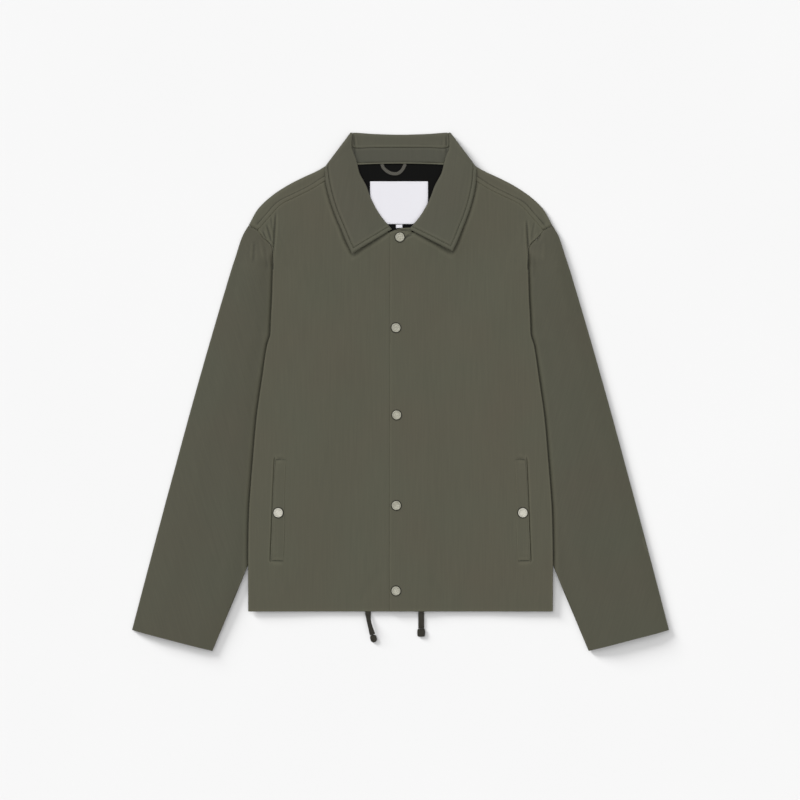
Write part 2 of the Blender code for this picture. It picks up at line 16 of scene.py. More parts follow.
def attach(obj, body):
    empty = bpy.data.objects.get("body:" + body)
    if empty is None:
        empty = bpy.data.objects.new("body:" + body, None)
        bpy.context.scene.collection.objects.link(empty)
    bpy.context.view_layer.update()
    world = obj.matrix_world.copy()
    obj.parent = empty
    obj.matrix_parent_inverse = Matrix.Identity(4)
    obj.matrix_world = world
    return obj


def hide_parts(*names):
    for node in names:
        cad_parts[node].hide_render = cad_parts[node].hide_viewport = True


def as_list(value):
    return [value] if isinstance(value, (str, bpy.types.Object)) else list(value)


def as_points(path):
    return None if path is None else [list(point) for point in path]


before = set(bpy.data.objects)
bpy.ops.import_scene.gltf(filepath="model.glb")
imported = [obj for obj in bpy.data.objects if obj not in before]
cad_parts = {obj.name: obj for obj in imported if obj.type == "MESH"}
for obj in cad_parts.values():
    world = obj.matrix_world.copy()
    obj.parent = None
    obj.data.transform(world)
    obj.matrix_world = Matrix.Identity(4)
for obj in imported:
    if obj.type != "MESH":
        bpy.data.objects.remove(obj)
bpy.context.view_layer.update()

# Camera
# The picture looks straight down at the jacket from far off, with no perspective to be seen in
# it. One pixel of its 800 covers 1.55 mm of the surface, which the 15 mm snap caps give.
MM = 0.001
PIXEL = 1.55
PICTURE_SIDE = 800
LENS = 100.0
SENSOR = 36.0
AIM = (-0.8, -12.8)

lens = bpy.data.cameras.new("camera")
lens.lens = LENS
lens.sensor_width = SENSOR
camera = bpy.data.objects.new("camera", lens)
bpy.context.scene.collection.objects.link(camera)
camera.location = Vector((*AIM, PICTURE_SIDE * PIXEL * LENS / SENSOR)) * MM
bpy.context.scene.camera = camera

# Surface and light
# A plain pale sweep under a broad sky of soft boxes, brightest overhead, with a weak soft lamp at
# the upper left. A second, lower lamp lights the sweep alone, and throws the jacket's short shadow
# to the lower right.
SWEEP_SIZE = 12000
SWEEP_DROP = 0.25


def linear(colour):
    """An sRGB hex colour as the linear colour that a shader takes."""
    parts = [int(colour[k : k + 2], 16) / 255 for k in (1, 3, 5)]
    return (*[c / 12.92 if c <= 0.04045 else ((c + 0.055) / 1.055) ** 2.4 for c in parts], 1)


def node(tree, kind, settings=None, **links):
    """Adds one node: settings are its own properties, links its sockets' values or sources."""
    made = tree.nodes.new(kind)
    for name, value in (settings or {}).items():
        setattr(made, name, value)
    for name, value in links.items():
        key = int(name[1:]) if name[1:].isdigit() else name.replace("_", " ")
        socket = made.inputs[key]
        if isinstance(value, bpy.types.NodeSocket):
            tree.links.new(value, socket)
        else:
            socket.default_value = value
    return made


def finish_of(name, colour, roughness, **more):
    """A material with one shader, its colour, roughness and other sockets set on it."""
    made = bpy.data.materials.new(name)
    made.use_nodes = True
    shader = made.node_tree.nodes["Principled BSDF"]
    shader.inputs["Base Color"].default_value = linear(colour)
    shader.inputs["Roughness"].default_value = roughness
    for socket, value in more.items():
        shader.inputs[socket.replace("_", " ")].default_value = value
    return made, made.node_tree, shader


def own_place(tree):
    """The place in the piece's own space, in metres."""
    return node(tree, "ShaderNodeTexCoord").outputs["Object"]


def tint(tree, shader, share, one, other):
    """Colours the shader from one colour to the other as the share goes from 0 to 1."""
    tone = node(tree, "ShaderNodeMix", {"data_type": "RGBA"}, Factor=share)
    tone.inputs["A"].default_value = linear(one)
    tone.inputs["B"].default_value = linear(other)
    tree.links.new(tone.outputs["Result"], shader.inputs["Base Color"])


def object_of(name, bm, material):
    """An object with the mesh of bm, which is freed, at the origin."""
    mesh = bpy.data.meshes.new(name)
    bm.to_mesh(mesh)
    bm.free()
    mesh.materials.append(material)
    mesh.shade_smooth()
    made = bpy.data.objects.new(name, mesh)
    bpy.context.scene.collection.objects.link(made)
    return made


# Matt paper sweep: no grain to be seen, only a trace of unevenness in its tone
sweep_paper, tree, shader = finish_of("paper_sweep", "#d2d2d2", 0.9, Specular_IOR_Level=0.1)
cloud = node(tree, "ShaderNodeTexNoise", Vector=own_place(tree), Scale=3.0, Detail=2.0)
tint(tree, shader, cloud.outputs["Fac"], "#d1d1d1", "#d3d3d3")
bm = bmesh.new()
bmesh.ops.create_grid(bm, x_segments=4, y_segments=4, size=SWEEP_SIZE / 2 * MM)
bmesh.ops.translate(bm, vec=(0, 0, -SWEEP_DROP * MM), verts=bm.verts)
sweep = object_of("sweep", bm, sweep_paper)

SKY_FALL = 2.0  # how fast the sky darkens from overhead to the horizon
SKY_LOW = 0.1
SKY_HIGH = 1.49
world = bpy.data.worlds.new("studio")
bpy.context.scene.world = world
world.use_nodes = True
tree = world.node_tree
way_up = node(tree, "ShaderNodeTexCoord").outputs["Generated"]
up = node(tree, "ShaderNodeSeparateXYZ", Vector=way_up).outputs["Z"]
power = {"operation": "POWER", "use_clamp": True}
lift = node(tree, "ShaderNodeMath", power, i0=up, i1=SKY_FALL)
sky = node(tree, "ShaderNodeMapRange", i0=lift.outputs["Value"], i3=SKY_LOW, i4=SKY_HIGH)
tree.links.new(sky.outputs["Result"], tree.nodes["Background"].inputs["Strength"])
tree.nodes["Background"].inputs["Color"].default_value = (1, 1, 1, 1)

LAMPS = [  # (name, strength, softness in degrees, direction it comes from, only on the sweep)
    ("soft_lamp", 0.75, 40, (-0.5, 0.6, 0.66), False),
    ("shadow_lamp", 5.7, 18, (-0.76, 0.65, 0.29), True),
]
for name, strength, softness, comes_from, sweep_only in LAMPS:
    lamp = bpy.data.lights.new(name, "SUN")
    lamp.energy = strength
    lamp.angle = math.radians(softness)
    lamp_object = bpy.data.objects.new(name, lamp)
    lamp_object.rotation_euler = Vector(comes_from).to_track_quat("Z", "Y").to_euler()
    bpy.context.scene.collection.objects.link(lamp_object)
    if sweep_only:
        lit = bpy.data.collections.new("lit_by_" + name)
        lit.objects.link(sweep)
        lamp_object.light_linking.receiver_collection = lit
bpy.context.scene.view_settings.view_transform = "Standard"

# Hem cord
# A flat braid that runs in the hem and leaves it at two places, where its ends lie on the
# surface. Dark polyester, tightly braided, each end doubled back and bound with thread.
CORD_WIDTH = 9.0
CORD_THICK = 1.8
CORD_EXIT_UP = -334.0
CORD_SIDES = 20
CORD_STEPS = 6  # rings for each span of a route
CORD_SQUARE = (0.6, 0.8)  # powers that square up the oval, over its width and its height
CHEVRON_SLANT = 38
CORD_LEFT_END = [  # (x, y, z, lean in degrees)
    (32, -306, 2.4, 0),
    (32, -318, 2.4, 0),
    (32, -331, 2.4, 0),
    (32, -343, 2.2, 0),
    (32, -353, 1.5, 0),
    (32, -362, 1.2, 0),
    (32, -367, 1.2, 0),
]
CORD_RIGHT_END = [
    (-50, -316, 2.4, 0),
    (-50, -331, 2.4, 0),
    (-50.3, -341.5, 2.5, 4),
    (-49.7, -350, 4.0, 42),
    (-48.3, -358, 4.3, 46),
    (-46.2, -366, 4.0, 40),
    (-43.5, -376, 2.7, 20),
]
TIP_THICK = 3.0
TIP_LENGTH = 12.0
TIP_GAP = 0.4
THREAD_TURNS = 4
TURN_SHIFT = 0.95  # from one turn of the binding thread to the next


def through(points, cuts):
    """A soft curve through the points, read at the shares that cuts has for each span."""
    ends = [2 * points[0] - points[1], *points, 2 * points[-1] - points[-2]]
    found = []
    for index, shares in enumerate(cuts):
        a, b, c, d = ends[index : index + 4]
        first = max((b - a).length, 0.001) ** 0.5
        second = first + max((c - b).length, 0.001) ** 0.5
        third = second + max((d - c).length, 0.001) ** 0.5
        for share in shares:
            t = first + (second - first) * share
            start = a.lerp(b, t / first)
            middle = b.lerp(c, (t - first) / (second - first))
            end = c.lerp(d, (t - second) / (third - second))
            near = start.lerp(middle, t / second)
            far = middle.lerp(end, (t - first) / (third - first))
            found.append(near.lerp(far, (t - first) / (second - first)))
    found.append(points[-1].copy())
    return found


def even_cuts(spans, count):
    return [[k / count for k in range(count)]] * spans


def emboss(tree, shader, height, strength, distance):
    """Raises the surface where the height pattern is high, by up to this distance in metres."""
    bump = node(tree, "ShaderNodeBump", Height=height, Strength=strength, Distance=distance)
    tree.links.new(bump.outputs["Normal"], shader.inputs["Normal"])


def close_tube(bm):
    """Joins the seam of a tube, fills its ends and turns its faces outward."""
    bmesh.ops.remove_doubles(bm, verts=bm.verts, dist=0.00001)
    rims = [edge for edge in bm.edges if edge.is_boundary]
    bmesh.ops.holes_fill(bm, edges=rims, sides=0)
    bmesh.ops.recalc_face_normals(bm, faces=bm.faces)


def wear(piece, slot, *nodes):
    """The piece rides on the jacket and stands for these nodes, which it hides. The slot is not
    used.
    """
    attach(piece, "root")
    if nodes:
        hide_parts(*nodes)
    return piece


# Braided polyester: strands cross at a slant over the width, so it reads as small dark chevrons
cord_braid, tree, shader = finish_of(
    "polyester_braid", "#3c3a34", 0.85, Specular_IOR_Level=0.25
)
weave = node(tree, "ShaderNodeUVMap", {"uv_map": "along"}).outputs["UV"]
waves = []
for slant in (1, -1):
    turned = node(tree, "ShaderNodeMapping", Vector=weave)
    turned.inputs["Rotation"].default_value = (0, 0, slant * math.radians(CHEVRON_SLANT))
    turned = turned.outputs["Vector"]
    bands = node(tree, "ShaderNodeTexWave", Vector=turned, Scale=1.6, Distortion=0.6)
    waves.append(bands.outputs["Fac"])
crossed = node(tree, "ShaderNodeMath", {"operation": "MAXIMUM"}, i0=waves[0], i1=waves[1])
tint(tree, shader, crossed.outputs["Value"], "#2b2a25", "#48453d")
emboss(tree, shader, crossed.outputs["Value"], 0.8, 0.0004)


def braid(name, route):
    """A flat braid along its route: an oval that follows the route's soft curve and its lean."""
    places = [Vector((x, y, z)) for x, y, z, lean in route]
    leans = [Vector((lean, 0, 0)) for x, y, z, lean in route]
    cuts = even_cuts(len(route) - 1, CORD_STEPS)
    line = through(places, cuts)
    turns = through(leans, cuts)
    last = len(line) - 1
    bm = bmesh.new()
    uv = bm.loops.layers.uv.new("along")
    bmesh.ops.create_grid(bm, x_segments=CORD_SIDES, y_segments=last, size=0.5, calc_uvs=True)
    for face in bm.faces:
        for loop in face.loops:
            share = (loop.vert.co.y + 0.5) * last / CORD_STEPS
            loop[uv].uv = ((loop.vert.co.x + 0.5) * 2 * CORD_WIDTH / 3, share * 4)
    across, upward = CORD_SQUARE
    for vert in bm.verts:
        k = round((vert.co.y + 0.5) * last)
        angle = 2 * math.pi * (vert.co.x + 0.5)
        way = (line[min(k + 1, last)] - line[max(k - 1, 0)]).normalized()
        flat = way.cross(Vector((0, 0, 1))).normalized()
        flat.rotate(Matrix.Rotation(math.radians(-turns[k].x), 3, way))
        face_up = flat.cross(way)
        wide = math.copysign(abs(math.cos(angle)) ** across, math.cos(angle)) * CORD_WIDTH / 2
        high = math.copysign(abs(math.sin(angle)) ** upward, math.sin(angle)) * CORD_THICK / 2
        vert.co = (line[k] + flat * wide + face_up * high) * MM
    close_tube(bm)
    return object_of(name, bm, cord_braid), [p * MM for p in line]


def bound_end(name, route, width, rounded):
    """A cord's end doubled back and flattened, with turns of thread round its neck. The rounder
    it is, from 0 to 1, the more its corners are drawn in."""
    end = Vector(route[-1][:3])
    way = end - Vector(route[-2][:3])
    way = Vector((way.x, way.y, 0)).normalized()
    bm = bmesh.new()
    bmesh.ops.create_cube(bm, size=1)
    bmesh.ops.subdivide_edges(bm, edges=bm.edges[:], cuts=5, use_grid_fill=True)
    for vert in bm.verts:
        across, along = vert.co.x * 2, vert.co.y * 2
        round_off = max(0.0, abs(along)) ** 4 * rounded
        vert.co.x *= width * (1 - round_off * 0.45)
        vert.co.y *= TIP_LENGTH * (1 - abs(across) ** 3 * 0.12 * rounded)
        vert.co.z *= TIP_THICK * (1 - 0.4 * abs(across) ** 4) * (1 - 0.35 * abs(along) ** 6)
    uv = bm.loops.layers.uv.new("along")
    for face in bm.faces:
        for loop in face.loops:
            loop[uv].uv = (loop.vert.co.x * 0.6, loop.vert.co.y * 0.6)
    for number in range(THREAD_TURNS):
        ring = bmesh.ops.create_uvsphere(bm, u_segments=12, v_segments=6, radius=0.5)["verts"]
        bmesh.ops.scale(bm, vec=(width * 0.94, 0.75, TIP_THICK * 0.99), verts=ring)
        along = TIP_LENGTH * 0.36 - number * TURN_SHIFT
        bmesh.ops.translate(bm, vec=(0, along, 0), verts=ring)
    centre = end + way * (TIP_LENGTH / 2 + TIP_GAP)
    centre.z = TIP_THICK / 2
    spin = Matrix.Rotation(math.atan2(way.y, way.x) + math.pi / 2, 4, "Z")
    lay = Matrix.Scale(MM, 4) @ Matrix.Translation(centre) @ spin
    bmesh.ops.transform(bm, matrix=lay, verts=bm.verts)
    return object_of(name, bm, cord_braid)


for word, route, width, rounded in (
    ("left", CORD_LEFT_END, 12.0, 0.35),
    ("right", CORD_RIGHT_END, 10.0, 1.0),
):
    cord, line = braid(f"hem_cord_{word}", route)
    tip = bound_end(f"cord_end_{word}", route, width, rounded)
    wear(cord, "cord_weave", f"drawcord_end_{word}")
    wear(tip, "cord_weave", f"drawcord_tip_{word}")
    leaves = min(line, key=lambda p: abs(p.y - CORD_EXIT_UP * MM))
    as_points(line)

# Back and yokes
# One cut of nylon twill, proofed and calendered smooth. It lies on the surface, turns up at the
# sides, and comes over each shoulder to the forward seam, which is felled and topstitched.
CLOTH = 1.2
PLY = CLOTH + 0.4
SEAM = 0.3
FLOOR_LEVEL = CLOTH / 2
OPEN_LEVEL = 4.2
SIDE_SLOPE = 90.0
NECK_CENTRE_UP = 325.0
NECK_RADIUS = 85.0
NECK_SLOPE = 65.0
NECK_RISE = 2.8
BACK_NECK_RISE = 2.0
BACK_NECK_PLACE = (150, 30, 290, 45)  # out where it ends, softness, up where it starts, softness
LAP_FADE = (20, 50)  # from this far out the extra height of the upper front fades, over this
HEM_UP = -340.0
FOLD_RADIUS = PLY / 2
BACK_INSET = 8.0
SIDE = [  # (out, up, level of the upper layer) down the armhole seam and then the side fold
    (221, 250, 4.2),
    (213, 239, 4.4),
    (205, 232, 5.0),
    (199, 224, 6.0),
    (197.4, 207, 7.7),
    (197, 189, 8.6),
    (198, 150, 8.6),
    (200, 111, 8.6),
    (201, 88, 8.6),
    (206, 71, 8.6),
    (214, 18, 8.6),
    (222, -39, 8.6),
    (228.2, -109, 8.6),
    (233.4, -179, 8.6),
    (234.8, -230, 8.6),
    (235.2, -269, 8.6),
    (235.2, -307, 7.2),
    (235.2, HEM_UP, 5.4),
]
FIRST_FOLD = 5
ARMHOLE_FOLD = (197.4, 207)
UNDERARM = (117, 72)
SIDE_SEAM_HEM = (205, HEM_UP)
SHOULDER = [  # (out, up)
    (101.5, 360.5),
    (106, 356),
    (110.4, 351.6),
    (120.5, 346.6),
    (134, 338.6),
    (149, 332.2),
    (166.4, 323.6),
    (187.6, 311.4),
    (202.2, 300.4),
    (213, 291),
    (224, 278),
    (233, 265),
    (235, 257),
]
FORWARD_SEAM = [
    (90, 341),
    (103, 334),
    (117, 326),
    (131, 317),
    (148, 308),
    (175, 295),
    (191, 285),
    (205, 268),
    (215, 257),
    (221, 250),
]
BACK_NECKLINE = [(0, 355), (44, 355), (73, 355), (90, 357.6), (101.5, 360.5)]
SHOULDER_SHARES = [0, 0.11, 0.2, 0.34, 0.5, 0.67, 0.83, 1]
YOKE_RIDGE = (0.75, 6.0)  # height and width of the felled seam
YOKE_STITCH = 6.9  # from the seam to its topstitching
BACK_FOLDS = [  # (x, y, x, y, half width, height) of soft creases in the underside
    (-120, 230, -40, 40, 26, -0.35),
    (95, 180, 130, -60, 30, -0.3),
    (-60, -80, -150, -250, 34, -0.4),
    (40, -120, 20, -300, 28, -0.3),
]
FINE = 3.0  # size of the mesh's cells on plain cloth
RIM = (0.5, 1.2, 2.2)  # extra rows this far from an edge, which let it turn down softly
HALF_TURN = (0, 30, 60, 90, 120, 150, 180)
CURVE_STEPS = 12
BACK_STEP = 5.0
FLAP_STEP = 20
YOKE_ROWS = (0.5, 1.2, 2.4, 4.0, 5.0, 5.8, 6.4, 6.9, 7.4, 8.2)  # by the seam and its stitches


def smooth(x):
    """0 below 0, 1 above 1, with a soft start and end between them."""
    x = min(max(x, 0.0), 1.0)
    return x * x * (3 - 2 * x)


def read_off(table, at, column):
    """A column of a table whose rows fall in their second column, read between the rows."""
    if at >= table[0][1]:
        return table[0][column]
    for upper, lower in zip(table, table[1:]):
        if at >= lower[1]:
            part = (upper[1] - at) / (upper[1] - lower[1])
            return upper[column] + part * (lower[column] - upper[column])
    return table[-1][column]


def sample(points, fractions):
    """Points at these fractions of the length of a soft curve through the points."""
    ends = [Vector(p).to_2d() for p in points]
    ends = [2 * ends[0] - ends[1]] + ends + [2 * ends[-1] - ends[-2]]
    dense = [ends[1]]
    for a, b, c, d in zip(ends, ends[1:], ends[2:], ends[3:]):
        for k in range(1, CURVE_STEPS + 1):
            t = k / CURVE_STEPS
            bend = (2 * a - 5 * b + 4 * c - d) * t * t + (3 * b - a - 3 * c + d) * t**3
            dense.append(0.5 * (2 * b + (c - a) * t + bend))
    reach = [0.0]
    for a, b in zip(dense, dense[1:]):
        reach.append(reach[-1] + (b - a).length)
    found = []
    k = 0
    for fraction in fractions:
        want = fraction * reach[-1]
        while k < len(dense) - 2 and reach[k + 1] < want:
            k += 1
        found.append(dense[k].lerp(dense[k + 1], (want - reach[k]) / (reach[k + 1] - reach[k])))
    return found


def even(count):
    return [k / count for k in range(count + 1)]


def row_share(one, other, index):
    """How far along its pair of edges a point lies, from 0 to 1."""
    shares = []
    for edge in (one, other):
        lengths = [(b - a).length for a, b in zip(edge, edge[1:])]
        shares.append(sum(lengths[:index]) / sum(lengths))
    return sum(shares) / 2


def fill(top, bottom, start, end):
    """Rows of points between four edges. Top and bottom run from start to end, and start and end
    run from top to bottom, each with its own spacing kept."""
    rows = []
    for j, (s, e) in enumerate(zip(start, end)):
        v = row_share(start, end, j)
        row = []
        for i, (t, b) in enumerate(zip(top, bottom)):
            u = row_share(top, bottom, i)
            ruled = t.lerp(b, v) + s.lerp(e, u)
            row.append(ruled - top[0].lerp(bottom[0], v).lerp(top[-1].lerp(bottom[-1], v), u))
        rows.append(row)
    return rows


def seam_out(up):
    """The hidden armhole and side seam under the fold."""
    if up >= ARMHOLE_FOLD[1]:
        return read_off(SIDE, up, 0)
    return read_off([ARMHOLE_FOLD, UNDERARM, SIDE_SEAM_HEM], up, 0)


def upper_level(out, up, over=False):
    """Middle of the upper body layer: low in the open, higher over the sleeve and at the neck."""
    inside = read_off(SIDE, up, 0) - out
    flap = read_off(SIDE, up, 0) - seam_out(up)
    side = smooth((flap + SIDE_SLOPE - inside) / SIDE_SLOPE)
    neck = 1 - smooth((math.hypot(out, up - NECK_CENTRE_UP) - NECK_RADIUS) / NECK_SLOPE)
    level = OPEN_LEVEL + (read_off(SIDE, up, 2) - OPEN_LEVEL) * side + NECK_RISE * neck
    return level + (PLY * (1 - smooth((out - LAP_FADE[0]) / LAP_FADE[1])) if over else 0)


def back_level(out, up):
    """Middle of the back's lower layer: on the surface, but over the collar at the neck."""
    out_to, out_soft, up_from, up_soft = BACK_NECK_PLACE
    near = smooth((out_to - out) / out_soft) * smooth((up - up_from) / up_soft)
    return FLOOR_LEVEL + BACK_NECK_RISE * near


def turn(centre, outward, radius, angles):
    """Points round a fold: from above the centre, outward, to below it, or the other way round
    where the radius is negative."""
    points = []
    for angle in angles:
        a = math.radians(angle)
        spot = centre + outward * abs(radius) * math.sin(a)
        points.append(spot + Vector((0, 0, radius * math.cos(a))))
    return points


def placed(point, side, level):
    """A point of a table on one side of the jacket: side is -1 on the left of the picture."""
    return Vector((side * point[0], point[1], level))


def side_rows(side, inset, levels_of, flap_of):
    """The fold down one side of a body layer and the flap inside it, as rows of points."""
    made = []
    for out, up, level in SIDE[FIRST_FOLD:]:
        start, end = levels_of(level)
        spot = out - inset - FOLD_RADIUS
        centre = placed((spot, up), side, (start + end) / 2)
        row = turn(centre, Vector((side, 0, 0)), (start - end) / 2, HALF_TURN)
        seam = seam_out(up)
        for share, flap_level in flap_of(out - inset, up):
            row.append(placed((spot + share * (seam - spot), up), side, flap_level))
        made.append(row)
    return made


def cuts_of(spans, step, start=(), end=(), fine=()):
    """Where each span is cut, as shares of it: evenly, twice as finely in the spans that fine
    names, and closely by a rim at either end."""
    made = []
    for index, span in enumerate(spans):
        count = max(1, round(span / step * (2 if index in fine else 1)))
        shares = {k / count for k in range(count)}
        if index == 0:
            shares |= {rim / span for rim in start if rim < span * 0.9}
        if index == len(spans) - 1:
            shares |= {1 - rim / span for rim in end if rim < span * 0.9}
        made.append(sorted(shares))
    return made


def longest(rows):
    """The longest span between each pair of neighbouring columns."""
    return [max((row[k + 1] - row[k]).length for row in rows) for k in range(len(rows[0]) - 1)]


def tallest(rows):
    """The longest span between each pair of neighbouring rows."""
    return longest([*zip(*rows)])


def refined(rows, across, down):
    """A finer grid of points, soft in both ways, through the rows given."""
    wide = [through(row, across) for row in rows]
    columns = [through([row[k] for row in wide], down) for k in range(len(wide[0]))]
    return [list(row) for row in zip(*columns)]


def folds_at(x, y, folds):
    """How far soft creases raise the cloth at a place: each fades to its ends and its sides."""
    total = 0.0
    for x1, y1, x2, y2, width, height in folds:
        run_x, run_y = x2 - x1, y2 - y1
        length = math.hypot(run_x, run_y)
        along = ((x - x1) * run_x + (y - y1) * run_y) / length**2
        if -0.15 < along < 1.15:
            off = ((x - x1) * run_y - (y - y1) * run_x) / length / width
            if abs(off) < 3:
                ends = smooth((along + 0.15) / 0.4) * smooth((1.15 - along) / 0.4)
                total += height * ends * math.exp(-off * off)
    return total


def steps_at(x, y, steps, side):
    """How far a soft ledge raises the cloth at a place: it stands up sharply along its line, on
    the side of the jacket's middle, and fades away from there and towards its upper end."""
    total = 0.0
    for x1, y1, x2, y2, reach, height in steps:
        run_x, run_y = x2 - x1, y2 - y1
        length = math.hypot(run_x, run_y)
        along = ((x - x1) * run_x + (y - y1) * run_y) / length**2
        if -0.1 < along < 1.1:
            off = side * ((x - x1) * run_y - (y - y1) * run_x) / length
            ends = smooth((along + 0.1) / 0.6) * smooth((1.1 - along) / 0.6)
            if -reach < off < reach:
                total += height * ends * smooth((off + 1.3) / 2.6) * (1 - smooth(off / reach))
    return total


def rim_dip(distance, depth=0.45, reach=1.1):
    """How far a turned edge dips, this far in from it."""
    return -depth * math.exp(-((distance / reach) ** 2))


def lay_grid(bm, rows, lowest=0.0):
    """A grid of cloth whose points are set in rows, in millimetres, with none below the lowest."""
    across, down = len(rows[0]) - 1, len(rows) - 1
    made = bmesh.ops.create_grid(bm, x_segments=across, y_segments=down, size=0.5)
    for vert in made["verts"]:
        i = round((vert.co.x + 0.5) * across)
        j = round((0.5 - vert.co.y) * down)
        vert.co = rows[j][i] * MM
        vert.co.z = max(vert.co.z, lowest * MM)


def cloth(name, patches, thickness, material, mirrored=False):
    """One wall of cloth through patches of points that join where their edges coincide."""
    bm = bmesh.new()
    for rows in patches:
        lay_grid(bm, rows, thickness / 2)
    if mirrored:
        half = bm.verts[:] + bm.edges[:] + bm.faces[:]
        bmesh.ops.mirror(bm, geom=half, matrix=Matrix(), merge_dist=0.00002, axis="X")
    bmesh.ops.remove_doubles(bm, verts=bm.verts, dist=0.00002)
    bmesh.ops.recalc_face_normals(bm, faces=bm.faces)
    piece = object_of(name, bm, material)
    wall = piece.modifiers.new("wall", "SOLIDIFY")
    wall.thickness = thickness * MM
    wall.offset = 0
    return piece


WAVE_TURN = 2 * math.pi / 20  # a wave texture's scale for bands one unit apart


def twill(name, colour, other, grain):
    """Smooth nylon twill: matt, with a faint sheen, fine slanting ribs that only show close up,
    long faint streaks of uneven yarn along the grain, slow changes of tone, and painted shade in
    its creases and painted highlight on its ridges."""
    material, tree, shader = finish_of(name, colour, 0.62, Specular_IOR_Level=0.3)
    shader.inputs["Sheen Weight"].default_value = 0.12
    shader.inputs["Sheen Roughness"].default_value = 0.5
    turned = node(tree, "ShaderNodeMapping", Vector=own_place(tree))
    turned.inputs["Rotation"].default_value = (0, 0, math.radians(grain))
    lie = turned.outputs["Vector"]
    # real ribs are 0.4 mm apart; drawn 1.1 mm apart so that they show at all
    ribs = node(tree, "ShaderNodeMapping", Vector=lie)
    ribs.inputs["Rotation"].default_value = (0, 0, math.radians(27))
    ribs = ribs.outputs["Vector"]
    rib = node(tree, "ShaderNodeTexWave", Vector=ribs, Scale=WAVE_TURN / 0.0011)
    long_yarn = node(tree, "ShaderNodeMapping", Vector=lie)
    long_yarn.inputs["Scale"].default_value = (1 / 0.0022, 1 / 0.06, 1 / 0.0022)
    long_yarn = long_yarn.outputs["Vector"]
    yarn = node(tree, "ShaderNodeTexNoise", Vector=long_yarn, Scale=1.0, Detail=3.0)
    slow = node(tree, "ShaderNodeTexNoise", Vector=lie, Scale=9.0, Detail=2.0, Roughness=0.4)
    tone = node(tree, "ShaderNodeMix", {"data_type": "RGBA"}, Factor=slow.outputs["Fac"])
    tone.inputs["A"].default_value = linear(colour)
    tone.inputs["B"].default_value = linear(other)
    fibre = yarn.outputs["Fac"]
    bright = node(tree, "ShaderNodeMapRange", i0=fibre, i1=0.3, i2=0.7, i3=0.96, i4=1.04)
    final = node(tree, "ShaderNodeVectorMath", {"operation": "SCALE"}, i0=tone.outputs["Result"])
    tree.links.new(bright.outputs["Result"], final.inputs["Scale"])
    # painted light: the colour is painted a shade lighter on a ridge, a painted highlight, and a
    # shade darker in a crease, painted shade, by how sharply the cloth bends there
    bent = node(tree, "ShaderNodeNewGeometry").outputs["Pointiness"]
    painted_shade_and_highlight = node(tree, "ShaderNodeMapRange", i0=bent, i1=0.475, i2=0.51, i3=0.6, i4=1.15)
    final = final.outputs["Vector"]
    other_tone = node(tree, "ShaderNodeVectorMath", {"operation": "SCALE"}, i0=final)
    tree.links.new(painted_shade_and_highlight.outputs["Result"], other_tone.inputs["Scale"])
    tree.links.new(other_tone.outputs["Vector"], shader.inputs["Base Color"])
    height = node(tree, "ShaderNodeMath", {"operation": "MULTIPLY_ADD"}, i0=fibre, i1=0.7)
    tree.links.new(rib.outputs["Fac"], height.inputs[2])
    emboss(tree, shader, height.outputs["Value"], 0.25, 0.00012)
    return material


body_twill = twill("nylon_twill_body", "#525444", "#565142", 0)


